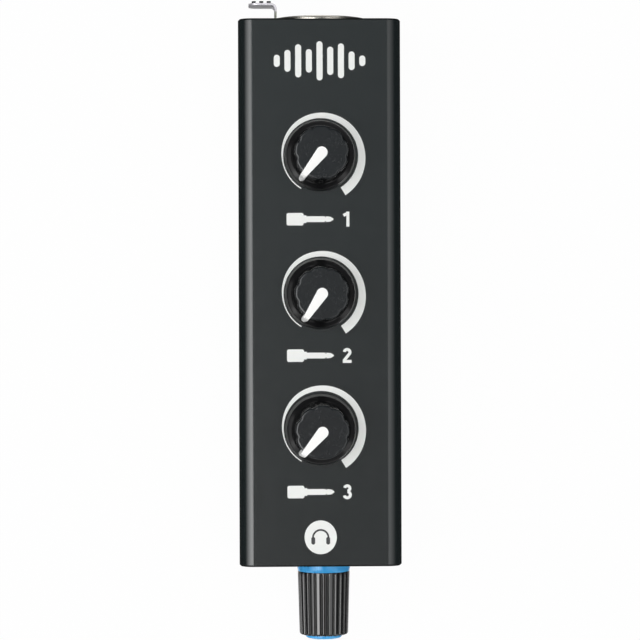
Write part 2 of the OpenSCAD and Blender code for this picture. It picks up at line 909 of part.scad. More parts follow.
module socket_housing() {
  low = -(axis_z - 10);
  high = board_bottom - 0.4 - axis_z;
  slot_y = latch_w / 2 + latch_run;
  slot_in = latch_in - latch_run;
  slot_out = latch_out + latch_run;
  color([0.07, 0.07, 0.075])
    at_socket()
      mirror([0, 1, 0])
        difference() {
          union() {
            rod(barrel_d / 2, -plate_t - 1, 0);
            block([-block_w / 2, -block_h / 2, -block_depth], [block_w / 2, block_h / 2, -plate_t - fit]);
            block([-tail_w / 2, low, -tail_depth], [tail_w / 2, high, -block_depth + 1]);
            for (x = [-5, 0, 5])
              translate([x, 0, board_y1 - 1.6 - plate_out])
                rotate([-90, 0, 0])
                  rod(0.5, high - 0.5, board_top - axis_z - 0.1);
          }
          rod(sleeve_out + bore_gap, -sleeve_depth - 2.5, 1);
          rod(insert_r + bore_gap, -insert_step - bore_gap, 1);
          rod(tail_r + bore_gap, -tail_depth + 0.9, 1);
          block([-slot_out, -slot_y, -latch_end - latch_travel - 0.4], [-slot_in, slot_y, 1]);
          block([-slot_out - 2, -slot_y, -plate_t - fit], [-slot_in, slot_y, 1]);
          block([-slot_in - 0.1, -2.2, -hook_bottom - latch_travel - 0.4], [-sleeve_r + 1, 2.2, -hook_top + 0.4]);
          translate([-(latch_in + latch_t / 2), 0, 0])
            rod(spring_coil_r + spring_wire_r + 0.2, -spring_end, -latch_end);
          at_socket_screws()
            rod(screw_d / 2 + bore_gap, -screw_l - 1, 1);
          translate([-socket_x, 0, 0])
            at_plate_screws()
              rod(port_r + port_gap, -tail_depth - 1, 1);
        }
}

module socket_bezel() {
  slot_y = latch_w / 2 + latch_run;
  r = bezel_d / 2;
  lip = 0.7;
  color([0.78, 0.77, 0.74])
    at_socket()
      difference() {
        rotate_extrude() {
          polygon([
            [sleeve_r, -sleeve_depth], [sleeve_out, -sleeve_depth], [sleeve_out, 0], [r, 0],
            [r, bezel_h - lip], [r - lip, bezel_h], [sleeve_out, bezel_h], [sleeve_r, bezel_h - 0.5]
          ]);
          translate([r - lip, bezel_h - lip])
            circle(lip);
        }
        block([-r - 1, -slot_y, -1], [-latch_in + latch_run, slot_y, bezel_h + 1]);
        block([-sleeve_out - 1, -2.2, -sleeve_depth - 1], [-sleeve_r + 1, 2.2, -hook_top + 0.4]);
      }
}

module socket_insert() {
  r = jack_d / 2;
  color([0.1, 0.1, 0.11])
    at_socket()
      difference() {
        rotate_extrude()
          polygon([
            [r, -jack_depth], [0, -jack_depth], [0, -jack_depth - 1], [tail_r, -jack_depth - 1],
            [tail_r, -insert_step], [insert_r, -insert_step], [insert_r, -insert_face - 0.5],
            [insert_r - 0.5, -insert_face], [r + 0.6, -insert_face], [r, -insert_face - 0.6]
          ]);
        at_pins()
          rod(pin_d / 2 + bore_gap, -pin_depth - 0.2, 1);
        for (side = [-1, 1])
          block([side * (r + tail_r) / 2 - tail_r / 2, -0.9, -29], [side * (r + tail_r) / 2 + tail_r / 2, 0.9, -23]);
      }
}

// Places a child at each of the three pin sockets.
module at_pins() {
  for (a = [0, 120, 240])
    rotate([0, 0, a])
      translate([pin_circle_r, 0, 0])
        children();
}

module socket_pins() {
  color([0.85, 0.7, 0.35])
    at_socket()
      at_pins()
        difference() {
          rod(pin_d / 2, -pin_depth, -insert_face - 0.4);
          rod(pin_d / 2 - pin_wall, -pin_depth + pin_d, 1);
        }
}

// Leaf spring whose bend looks toward a bore, seen in a plane through its axis.
module leaf(r, set, length, width) {
  t = 0.3;
  rotate([90, 0, 0])
    linear_extrude(width, center = true)
      polygon([
        [r + set, 0], [r + set + t, 0], [r + set + t, length * 0.3],
        [r + t + 0.1, length * 0.6], [r + set, length], [r + set - t, length],
        [r + 0.1, length * 0.6], [r + set, length * 0.3]
      ]);
}

module socket_springs() {
  color([0.8, 0.65, 0.35])
    at_socket()
      for (a = [0, 180])
        rotate([0, 0, a])
          translate([0, 0, -28.8])
            leaf(jack_d / 2, line_set, 5.6, 1.4);
}

module socket_screws() {
  color([0.12, 0.12, 0.12])
    at_socket()
      mirror([0, 1, 0])
        at_socket_screws()
          flat_screw();
}

// Side view of the latch's bent strip: stem, round bend and push tab.
module latch_2d() {
  rb = tab_bend_r;
  translate([-latch_out, -latch_end])
    square([latch_t, latch_end + tab_top - rb]);
  translate([-tab_tip, tab_top - latch_t])
    square([tab_tip - latch_in - rb, latch_t]);
  translate([-latch_in - rb, tab_top - rb])
    intersection() {
      difference() {
        circle(rb);
        circle(rb - latch_t);
      }
      square([rb + 1, rb + 1]);
    }
}

module latch() {
  corner = 2.2;
  color([0.8, 0.8, 0.82])
    at_socket()
      difference() {
        union() {
          rotate([90, 0, 0])
            linear_extrude(latch_w, center = true)
              latch_2d();
          rotate([90, 0, 0])
            linear_extrude(3.6, center = true)
              polygon([
                [-latch_in - 0.2, -hook_bottom], [-sleeve_r + 0.8, -hook_bottom],
                [-sleeve_r + 0.8, -hook_bottom + 0.8], [-latch_in - 0.2, -hook_top]
              ]);
          for (i = [0 : 2])
            translate([-tab_tip + (i + 0.7) * tab_rib_pitch, 0, 0])
              block([-tab_rib_w / 2, -latch_w / 2, tab_top - latch_t / 2], [tab_rib_w / 2, latch_w / 2, tab_h]);
        }
        for (side = [-1, 1])
          translate([-tab_tip + corner, side * (latch_w / 2 - corner), 0])
            difference() {
              block([-corner - 1, side > 0 ? 0 : -corner - 1, 1], [0, side > 0 ? corner + 1 : 0, tab_h + 1]);
              rod(corner, 0, tab_h + 2);
            }
      }
}

// One ring of the spring's wire, at a share t of its length.
function coil_point(t, a, height) =
  let(q = 360 * spring_turns * t, rise = height / (2 * PI * spring_turns))
  let(n = sqrt(spring_coil_r * spring_coil_r + rise * rise))
  let(b = [rise * sin(q) / n, -rise * cos(q) / n, spring_coil_r / n])
  [
    (spring_coil_r + spring_wire_r * cos(a)) * cos(q) + spring_wire_r * sin(a) * b[0],
    (spring_coil_r + spring_wire_r * cos(a)) * sin(q) + spring_wire_r * sin(a) * b[1],
    height * t + spring_wire_r * sin(a) * b[2]
  ];

module latch_spring() {
  sides = 6;
  rings = 10 * spring_turns;
  height = spring_end - latch_end - 2 * spring_wire_r - 0.1;
  points = [
    for (i = [0 : rings])
      for (k = [0 : sides - 1])
        coil_point(i / rings, k * 360 / sides, height)
  ];
  skin = [
    for (i = [0 : rings - 1])
      for (k = [0 : sides - 1])
        [i * sides + k, (i + 1) * sides + k, (i + 1) * sides + (k + 1) % sides, i * sides + (k + 1) % sides]
  ];
  start = [[for (k = [0 : sides - 1]) k]];
  end = [[for (k = [sides - 1 : -1 : 0]) rings * sides + k]];
  echo(least_gap_between_turns = height / spring_turns - 2 * spring_wire_r);
  color([0.7, 0.7, 0.72])
    at_socket()
      translate([-(latch_in + latch_t / 2), 0, -spring_end + spring_wire_r + 0.05])
        polyhedron(points = points, faces = concat(start, skin, end));
}

// Body of a jack behind a wall of thickness skin: a nose through the wall, a
// block behind it, the bore and two windows for its contacts.
module jack_body(r, nose_r, skin, w, h, depth) {
  back = -skin - fit - depth;
  difference() {
    union() {
      rod(nose_r, -skin - fit - 1, 0);
      block([-h / 2, -w / 2, back], [h / 2, w / 2, -skin - fit]);
    }
    rod(r, back + 1, 1);
    rod(r + 0.3, -skin - fit, 1);
    for (side = [-1, 1])
      block([side * (r + 1) - 1.1, -r * 0.4 - 0.2, back + 1.5], [side * (r + 1) + 1.1, r * 0.4 + 0.2, back + 7]);
  }
}

module jack_contacts(r, set, skin, depth) {
  back = -skin - fit - depth;
  for (a = [0, 180])
    rotate([0, 0, a])
      translate([0, 0, back + 1.7])
        leaf(r, set, 5, r * 0.8);
}

module line_jack() {
  color([0.07, 0.07, 0.075])
    at_right(dial_y[1], line_z)
      difference() {
        jack_body(line_r, line_nose_r, wall, line_w, line_w, line_depth);
        rod(line_nose_r - 0.6, -1.4, 1);
      }
}

module line_jack_ferrule() {
  color([0.78, 0.77, 0.74])
    at_right(dial_y[1], line_z)
      difference() {
        rod(line_nose_r - 0.6 - bore_gap, -1.35, 0.2);
        rod(line_r + 0.3, -2, 1);
      }
}

module line_jack_contacts() {
  color([0.8, 0.65, 0.35])
    at_right(dial_y[1], line_z)
      jack_contacts(line_r, line_set, wall, line_depth);
}

module aux_jack() {
  color([0.07, 0.07, 0.075])
    at_right(dial_y[2], mini_z)
      jack_body(mini_r, mini_nose_r, wall, mini_w, mini_h, mini_depth);
}

module aux_jack_contacts() {
  color([0.8, 0.65, 0.35])
    at_right(dial_y[2], mini_z)
      jack_contacts(mini_r, mini_set, wall, mini_depth);
}

module phones_jack() {
  color([0.07, 0.07, 0.075])
    at_bottom(-phones_x, mini_z)
      jack_body(mini_r, mini_nose_r, plate_t, mini_h, mini_w, mini_depth);
}

module phones_jack_contacts() {
  color([0.8, 0.65, 0.35])
    at_bottom(-phones_x, mini_z)
      jack_contacts(mini_r, mini_set, plate_t, mini_depth);
}

module usb_shell() {
  color([0.75, 0.75, 0.76])
    at_bottom(usb_x, usb_z)
      difference() {
        translate([0, 0, -usb_depth])
          linear_extrude(usb_depth)
            slot_2d(usb_w, usb_h);
        translate([0, 0, -usb_depth + 0.8])
          linear_extrude(usb_depth)
            slot_2d(usb_w - 2 * usb_skin, usb_h - 2 * usb_skin);
      }
}

module usb_tongue() {
  color([0.08, 0.08, 0.08])
    at_bottom(usb_x, usb_z)
      block([-usb_w / 2 + 1.2, -0.35, -usb_depth + 0.8], [usb_w / 2 - 1.2, 0.35, -0.8]);
}

module charge_light() {
  color([0.85, 0.9, 0.85])
    at_bottom(led_x, led_z)
      union() {
        rod(led_d / 2, -5, 0.05);
        block([-led_d / 2, -led_d / 2, -7], [led_d / 2, led_d / 2 + 0.3 + fit, -4.5]);
      }
}

module battery() {
  color([0.6, 0.62, 0.65])
    block([-cell_w / 2, cell_y - cell_l / 2, cell_z], [cell_w / 2, cell_y + cell_l / 2, cell_z + cell_t]);
}

module battery_tape() {
  color([0.15, 0.15, 0.15])
    block([-cell_w / 2 + 2, cell_y - cell_l / 2 + 3, cover_t], [cell_w / 2 - 2, cell_y + cell_l / 2 - 3, cell_z]);
}

module battery_leads() {
  z = cell_z + cell_t / 2;
  color([0.7, 0.1, 0.1])
    for (x = [-plug_x - lead_pitch / 2, -plug_x + lead_pitch / 2])
      translate([x, lead_y, z])
        union() {
          rotate([-90, 0, 0])
            rod(lead_d / 2, 0, 1);
          translate([0, 1, lead_bend])
            rotate([90, 0, 90])
              rotate_extrude(angle = 90, start = 270)
                translate([lead_bend, 0])
                  circle(lead_d / 2);
          translate([0, 1 + lead_bend, 0])
            rod(lead_d / 2, lead_bend, board_bottom - plug_h - z);
        }
}

module battery_plug() {
  color([0.9, 0.88, 0.8])
    translate([-plug_x, lead_y + 1 + lead_bend, board_bottom - plug_h / 2])
      cube([plug_w, plug_l, plug_h], center = true);
}

front_shell();
rear_cover();
top_end_plate();
bottom_end_plate();
top_plate_screws();
bottom_plate_screws();
main_board();
board_chips();
board_capacitors();
pot(0);  // pot_1
pot(1);  // pot_2
pot(2);  // pot_3
pot_washers();
pot_nuts();
pot_shaft(0);  // pot_shaft_1
pot_shaft(1);  // pot_shaft_2
pot_shaft(2);  // pot_shaft_3
input_knob(0);  // input_knob_1
input_knob(1);  // input_knob_2
input_knob(2);  // input_knob_3
pointer(0);  // pointer_1
pointer(1);  // pointer_2
pointer(2);  // pointer_3
volume_pot();
volume_washer();
volume_nut();
volume_shaft();
volume_knob();
volume_collar();
volume_cap();
socket_housing();
socket_bezel();
socket_insert();
socket_pins();
socket_springs();
socket_screws();
latch();
latch_spring();
line_jack();
line_jack_ferrule();
line_jack_contacts();
aux_jack();
aux_jack_contacts();
phones_jack();
phones_jack_contacts();
usb_shell();
usb_tongue();
charge_light();
battery();
battery_tape();
battery_leads();
battery_plug();
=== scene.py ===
"""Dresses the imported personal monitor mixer: finishes, print, dials, spring, camera and light.

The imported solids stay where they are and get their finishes. The three dials, the volume
knob and the latch's spring are drawn again as smooth surfaces, and the front panel gets its
print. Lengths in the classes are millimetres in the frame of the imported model: X to the
right of the panel, Y toward the combination socket and Z out of the panel.
"""

import json
import logging
import math
from dataclasses import dataclass
from enum import Enum
from typing import Any, Callable

import bpy
import numpy as np
from mathutils import Matrix, Vector

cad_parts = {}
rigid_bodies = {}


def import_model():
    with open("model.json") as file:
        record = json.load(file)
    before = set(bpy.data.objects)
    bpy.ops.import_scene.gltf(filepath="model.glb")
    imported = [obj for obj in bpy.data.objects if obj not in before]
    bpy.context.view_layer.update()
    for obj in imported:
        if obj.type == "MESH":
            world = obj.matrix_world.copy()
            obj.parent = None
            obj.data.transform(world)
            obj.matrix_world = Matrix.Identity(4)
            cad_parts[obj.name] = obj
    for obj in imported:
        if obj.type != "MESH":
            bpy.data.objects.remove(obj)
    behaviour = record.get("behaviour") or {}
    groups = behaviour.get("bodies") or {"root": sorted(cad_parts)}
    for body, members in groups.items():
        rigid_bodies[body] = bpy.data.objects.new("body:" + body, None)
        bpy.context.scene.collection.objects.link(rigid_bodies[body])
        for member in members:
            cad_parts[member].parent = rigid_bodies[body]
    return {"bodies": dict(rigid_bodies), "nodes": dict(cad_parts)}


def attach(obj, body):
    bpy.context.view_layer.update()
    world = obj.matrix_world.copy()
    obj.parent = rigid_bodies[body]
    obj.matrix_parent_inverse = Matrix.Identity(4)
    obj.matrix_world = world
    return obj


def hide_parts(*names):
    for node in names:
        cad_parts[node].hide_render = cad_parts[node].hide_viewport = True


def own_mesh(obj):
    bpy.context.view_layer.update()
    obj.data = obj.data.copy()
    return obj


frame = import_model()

Colour = tuple[float, float, float, float]
Vec2 = tuple[float, float]
Vec3 = tuple[float, float, float]
RadiusAt = Callable[[np.ndarray, np.ndarray], np.ndarray]

MM = 0.001  # a millimetre in metres
PANEL_Z = 36.0  # front panel
AXIS_Z = 18.0  # axes of the socket and the volume knob
PLATE_OUT = 67.5  # outer faces of the end plates
DIAL_Y = (33.9, -0.3, -33.9)  # axes of the dials
LABEL_Y = (18.15, -15.65, -49.45)  # middles of the labels under them
POINTER_TURN = (141.4, 146.6, 139.3)  # degrees from +Y to each pointer, counter-clockwise
VOLUME_X = 1.2  # axis of the volume knob
VOLUME_REACH = (3.4, 19.5)  # distances of its ends from the end plate
VOLUME_R = (6.6, 6.15)  # its radius at each end
WHITE: Colour = (1.0, 1.0, 1.0, 1.0)
NO_TRIANGLES = np.zeros((0, 3), int)
LOG = logging.getLogger("mixer")


def tone(red: float, green: float, blue: float) -> Colour:
    """Turns display values of 0 to 255 into a linear colour, by the sRGB curve.

    Args:
        red: Display value of red.
        green: Display value of green.
        blue: Display value of blue.

    Returns:
        Linear red, green and blue, and an alpha of one.
    """
    share = np.array([red, green, blue]) / 255.0
    low = share / 12.92
    high = ((share + 0.055) / 1.055) ** 2.4
    linear = np.where(share <= 0.04045, low, high)
    return (float(linear[0]), float(linear[1]), float(linear[2]), 1.0)


class Signal:
    """A shader socket that takes part in Python expressions."""

    def __init__(self, graph: "Graph", socket: bpy.types.NodeSocket) -> None:
        """Keeps the socket and the graph that it belongs to."""
        self.graph = graph
        self.socket = socket

    def _math(self, operation: str, first: Any, second: Any) -> "Signal":
        """Adds one Math node on two values."""
        return self.graph.node("ShaderNodeMath", {"operation": operation}, {0: first, 1: second})

    def __add__(self, other: Any) -> "Signal":
        """Adds a value to this one."""
        return self._math("ADD", self, other)

    def __radd__(self, other: Any) -> "Signal":
        """Adds this value to a number."""
        return self._math("ADD", other, self)

    def __sub__(self, other: Any) -> "Signal":
        """Takes a value from this one."""
        return self._math("SUBTRACT", self, other)

    def __rsub__(self, other: Any) -> "Signal":
        """Takes this value from a number."""
        return self._math("SUBTRACT", other, self)

    def __mul__(self, other: Any) -> "Signal":
        """Multiplies this value."""
        return self._math("MULTIPLY", self, other)

    def __rmul__(self, other: Any) -> "Signal":
        """Multiplies a number by this value."""
        return self._math("MULTIPLY", other, self)

    def __abs__(self) -> "Signal":
        """This value without its sign."""
        return self._math("ABSOLUTE", self, 0.0)

    def ease(self, low: float, high: float) -> "Signal":
        """Rises smoothly from zero at low to one at high."""
        return self.graph.node(
            "ShaderNodeMapRange",
            {"interpolation_type": "SMOOTHSTEP"},
            {"Value": self, "From Min": low, "From Max": high},
        )


class Graph:
    """The node tree of one material, of a lamp or of the world."""

    def __init__(self, tree: bpy.types.NodeTree) -> None:
        """Empties the tree.

        Args:
            tree: Node tree to fill.
        """
        self.tree = tree
        tree.nodes.clear()

    def node(
        self,
        kind: str,
        settings: dict[str, Any] | None = None,
        sockets: dict[Any, Any] | None = None,
        out: Any = 0,
    ) -> Signal:
        """Adds a node of any kind.

        Args:
            kind: Blender's name of the node type.
            settings: Properties of the node, set first.
            sockets: Values or signals for its inputs, by name or number.
            out: Name or number of the output to return.

        Returns:
            The chosen output.
        """
        made = self.tree.nodes.new(kind)
        for key, value in (settings or {}).items():
            setattr(made, key, value)
        for key, value in (sockets or {}).items():
            if isinstance(value, Signal):
                self.tree.links.new(value.socket, made.inputs[key])
            else:
                made.inputs[key].default_value = value
        return Signal(self, made.outputs[out]) if len(made.outputs) else Signal(self, None)

    def mix(self, factor: Any, first: Any, second: Any) -> Signal:
        """Blends two colours by a factor, through the colour sockets of a Mix node."""
        return self.node("ShaderNodeMix", {"data_type": "RGBA"}, {0: factor, 6: first, 7: second}, 2)

    def axis(self, name: str) -> Signal:
        """One of the object coordinates X, Y and Z, in millimetres."""
        place = self.node("ShaderNodeTexCoord", out="Object")
        return self.node("ShaderNodeSeparateXYZ", None, {0: place}, name) * (1.0 / MM)

    def noise(self, size_mm: float, detail: float, stretch: Vec3 = (1.0, 1.0, 1.0)) -> Signal:
        """Soft noise on the object coordinates.

        Args:
            size_mm: Size of one blot.
            detail: Octaves of finer noise.
            stretch: Factors on the coordinates, small along a streak.

        Returns:
            Values about 0.5, from 0 to 1.
        """
        place = self.node("ShaderNodeTexCoord", out="Object")
        turned = self.node("ShaderNodeMapping", None, {"Vector": place, "Scale": stretch})
        sockets = {"Vector": turned, "Scale": 1.0 / (size_mm * MM), "Detail": detail}
        return self.node("ShaderNodeTexNoise", None, sockets)

    def bump(self, height: Signal, depth_mm: float) -> Signal:
        """Turns heights of 0 to 1 into a relief of the given depth."""
        return self.node("ShaderNodeBump", None, {"Height": height, "Distance": depth_mm * MM})

    def finish(self, shader: Signal, kind: str = "ShaderNodeOutputMaterial") -> None:
        """Links a shader to the tree's output."""
        self.node(kind, None, {"Surface": shader})


@dataclass(frozen=True)
class Specks:
    """Patches of noise that stand out from what is round them.

    Attributes:
        size_mm: Size of one blot of the noise.
        octaves: Octaves of finer noise.
        low: Level of the noise at which a patch begins to show.
        high: Level from which it shows in full.
    """

    size_mm: float
    octaves: float
    low: float
    high: float

    def mask(self, graph: Graph) -> Signal:
        """One in the patches and zero between them."""
        return graph.noise(self.size_mm, self.octaves).ease(self.low, self.high)


@dataclass(frozen=True)
class Finish:
    """A finish whose colour, gloss and relief each vary a little over the surface.

    Attributes:
        name: Name of the material.
        colour: Mean colour.
        shade: Share by which the colour drifts to either side.
        patch_mm: Size of the patches in which it drifts.
        rough: Mean roughness.
        rough_spread: How far the roughness drifts to either side.
        relief_mm: Depth of the grain.
        grain_mm: Size of the grain.
        stretch: Factors on the coordinates, small along a streak.
        metal: Share of metal.
        specular: Level of the reflection.
        octaves: Octaves of finer noise in the colour, the gloss and the grain.
        gloss_patch: Size of the gloss's patches as a share of the colour's.
    """

    name: str
    colour: Colour
    shade: float = 0.1
    patch_mm: float = 5.0
    rough: float = 0.4
    rough_spread: float = 0.12
    relief_mm: float = 0.002
    grain_mm: float = 0.3
    stretch: Vec3 = (1.0, 1.0, 1.0)
    metal: float = 0.0
    specular: float = 0.5
    octaves: Vec3 = (3.0, 4.0, 2.0)
    gloss_patch: float = 0.4

    def colours(self, graph: Graph) -> Signal:
        """Drifts between a lighter and a darker form of the colour.

        Args:
            graph: The material's graph.

        Returns:
            The colour over the surface.
        """
        dark = tuple(c * (1.0 - self.shade) for c in self.colour[:3]) + (1.0,)
        light = tuple(min(c * (1.0 + self.shade), 1.0) for c in self.colour[:3]) + (1.0,)
        return graph.mix(graph.noise(self.patch_mm, self.octaves[0], self.stretch), dark, light)

    def roughness(self, graph: Graph) -> Signal:
        """Drifts about the finish's roughness."""
        drift = graph.noise(self.patch_mm * self.gloss_patch, self.octaves[1], self.stretch) - 0.5
        return drift * (2.0 * self.rough_spread) + self.rough

    def metallic(self, graph: Graph) -> Signal | float:
        """The finish's share of metal."""
        return self.metal

    def relief(self, graph: Graph) -> Signal:
        """Fine grain as a bump."""
        return graph.bump(graph.noise(self.grain_mm, self.octaves[2], self.stretch), self.relief_mm)

    def material(self) -> bpy.types.Material:
        """Makes the material.

        Returns:
            A node material with the finish's colour, roughness and relief.
        """
        made = bpy.data.materials.new(self.name)
        made.use_nodes = True
        graph = Graph(made.node_tree)
        sockets = {
            "Base Color": self.colours(graph),
            "Roughness": self.roughness(graph),
            "Normal": self.relief(graph),
            "Metallic": self.metallic(graph),
            "Specular IOR Level": self.specular,
        }
        graph.finish(graph.node("ShaderNodeBsdfPrincipled", None, sockets))
        return made


@dataclass(frozen=True)
class CasePaint(Finish):
    """Satin powder coat: slow waves under a fine grain, with painted shade on the end edges, which are
    also dull.
    """

    wave_mm: float = 1.6
    wave_octaves: float = 1.0
    wave_share: float = 0.6
    edge: Vec2 = (67.5, 67.7)  # distances along Y between which the edges begin
    edge_rough: float = 0.5
    # painted shade: near-black colour on the edges of both ends
    shaded_edge_colour: Colour = (0.003, 0.0035, 0.004, 1.0)

    def _edge(self, graph: Graph) -> Signal:
        """One on the edges of both ends and zero on the faces."""
        return abs(graph.axis("Y")).ease(*self.edge)

    def colours(self, graph: Graph) -> Signal:
        """Painted shade: darkens the edges of both ends."""
        return graph.mix(self._edge(graph), super().colours(graph), self.shaded_edge_colour)

    def roughness(self, graph: Graph) -> Signal:
        """Dulls the edges of both ends."""
        return self._edge(graph) * self.edge_rough + super().roughness(graph)

    def metallic(self, graph: Graph) -> Signal:
        """Makes the edges of both ends metal, so that with their near-black painted colour they reflect
        almost nothing: painted shade.
        """
        return self._edge(graph)

    def relief(self, graph: Graph) -> Signal:
        """Adds the slow waves of the coat to its grain.

        Args:
            graph: The material's graph.

        Returns:
            The relief.
        """
        waves = graph.noise(self.wave_mm, self.wave_octaves) * self.wave_share
        grain = graph.noise(self.grain_mm, self.octaves[2]) * (1.0 - self.wave_share)
        return graph.bump(waves + grain, self.relief_mm)


@dataclass(frozen=True)
class KnobPlastic(Finish):
    """Moulded plastic: a dusty satin top over polished sides, told apart by height, with painted shade
    on the sides.
    """

    sides_edge: Vec2 = (PANEL_Z + 14.45, PANEL_Z + 14.65)  # the rim of the top
    sides_rough: float = 0.18
    # painted shade: the sides are coloured darker than the top's own plastic
    shaded_sides_colour: Colour = (0.004, 0.004, 0.0045, 1.0)
    wall_edge: Vec2 = (PANEL_Z + 3.6, PANEL_Z + 3.9)  # the skirt's upper edge
    wall_rough: float = 0.27
    dust: Specks = Specks(0.4, 4.0, 0.52, 0.75)
    drifts: Specks = Specks(2.4, 2.0, 0.3, 0.7)
    dust_colour: Colour = (0.022, 0.024, 0.026, 1.0)
    scuffs: Specks = Specks(0.8, 5.0, 0.6, 0.8)
    scuff_rough: float = 0.12

    def _sides(self, graph: Graph) -> Signal:
        """One on the grip's side and the skirt, and zero on the top."""
        return 1.0 - graph.axis("Z").ease(*self.sides_edge)

    def colours(self, graph: Graph) -> Signal:
        """Fine dust on the top, and on the sides painted shade: a black deeper than the top's own
        colour.

        Args:
            graph: The material's graph.

        Returns:
            The colour over the knob.
        """
        dust = self.dust.mask(graph) * self.drifts.mask(graph)
        sides = self._sides(graph)
        top = graph.mix(dust, super().colours(graph), self.dust_colour)
        return graph.mix(sides, top, self.shaded_sides_colour)

    def roughness(self, graph: Graph) -> Signal:
        """Polished sides with faint scuffs, a dull skirt wall and a satin top.

        Args:
            graph: The material's graph.

        Returns:
            The roughness over the knob.
        """
        sides = self._sides(graph)
        wall = (1.0 - graph.axis("Z").ease(*self.wall_edge)) * self.wall_rough
        polished = self.scuffs.mask(graph) * self.scuff_rough + self.sides_rough + wall
        return sides * polished + (1.0 - sides) * super().roughness(graph)


@dataclass(frozen=True)
class RibbedPlastic(Finish):
    """Moulded plastic with polished ribs and dull grooves darkened by painted shade.

    They are told apart by their distance from the knob's axis.
    """

    groove_rough: float = 0.5
    # painted shade: near-black colour in the grooves
    shaded_groove_colour: Colour = (0.001, 0.001, 0.001, 1.0)
    groove_edge: Vec2 = (0.8, 3.0)  # differences of squared radii

    def _grooves(self, graph: Graph) -> Signal:
        """One in the grooves and zero on the ribs, which taper toward the knob's end.

        Args:
            graph: The material's graph.

        Returns:
            A mask from how far the square of the distance falls short of the ribs' own.
        """
        across, up = graph.axis("X") - VOLUME_X, graph.axis("Z") - AXIS_Z
        start, end = (-PLATE_OUT - reach for reach in VOLUME_REACH)
        slope = (VOLUME_R[1] - VOLUME_R[0]) / (end - start)
        ribs = (graph.axis("Y") - start) * slope + VOLUME_R[0]
        return (ribs * ribs - across * across - up * up).ease(*self.groove_edge)

    def colours(self, graph: Graph) -> Signal:
        """Painted shade: darkens the grooves."""
        return graph.mix(self._grooves(graph), super().colours(graph), self.shaded_groove_colour)

    def roughness(self, graph: Graph) -> Signal:
        """Dulls the grooves."""
        return self._grooves(graph) * self.groove_rough + super().roughness(graph)


@dataclass(frozen=True)
class LatchSteel(Finish):
    """Brushed sheet metal with grip ribs coloured near black and a stem tinted olive and darkened by
    painted shade.
    """

    rib_edge: Vec2 = (73.26, 73.36)  # the tab's outer face
    rib_colour: Colour = (0.003, 0.003, 0.003, 1.0)
    stem_edge: Vec2 = (70.7, 71.6)  # the bend between the stem and the tab
    # painted shade: the stem's colour is darker than the tab's, with an olive tint
    shaded_stem_colour: Colour = (0.24, 0.25, 0.21, 1.0)

    def colours(self, graph: Graph) -> Signal:
        """Colours the ribs, which stand out of the tab's outer face, near black, and gives the stem an
        olive tint darkened by painted shade.

        Args:
            graph: The material's graph.

        Returns:
            The colour at each distance from the end plate.
        """
        along = graph.axis("Y")
        tab = graph.mix(along.ease(*self.stem_edge), self.shaded_stem_colour, super().colours(graph))
        return graph.mix(along.ease(*self.rib_edge), tab, self.rib_colour)


@dataclass(frozen=True)
class PrintInk(Finish):
    """Screen print: an even film with a few pinholes."""

    pinholes: Specks = Specks(0.22, 3.0, 0.7, 0.78)
    hole: Colour = (0.25, 0.25, 0.25, 1.0)
    hole_share: float = 0.5

    def colours(self, graph: Graph) -> Signal:
        """Lets the panel show faintly through the pinholes."""
        holes = self.pinholes.mask(graph)
        return graph.mix(holes * self.hole_share, super().colours(graph), self.hole)


@dataclass(frozen=True)
class BoardMask(Finish):
    """Solder mask over copper tracks."""

    track: Colour = (0.03, 0.16, 0.06, 1.0)
    track_edge: Vec2 = (0.6, 0.7)
    pitch_mm: float = 1.4
    swerve: float = 3.0
    band_pitch: float = 0.3  # pitch of the wave texture's bands at a scale of one

    def colours(self, graph: Graph) -> Signal:
        """Shows the tracks as lighter lines that swerve a little.

        Args:
            graph: The material's graph.

        Returns:
            The colour over the board.
        """
        place = graph.node("ShaderNodeTexCoord", out="Object")
        scale = self.band_pitch / (self.pitch_mm * MM)
        sockets = {"Vector": place, "Scale": scale, "Distortion": self.swerve, "Detail": 0.0}
        lines = graph.node("ShaderNodeTexWave", {"bands_direction": "X"}, sockets, 1)
        return graph.mix(lines.ease(*self.track_edge), super().colours(graph), self.track)


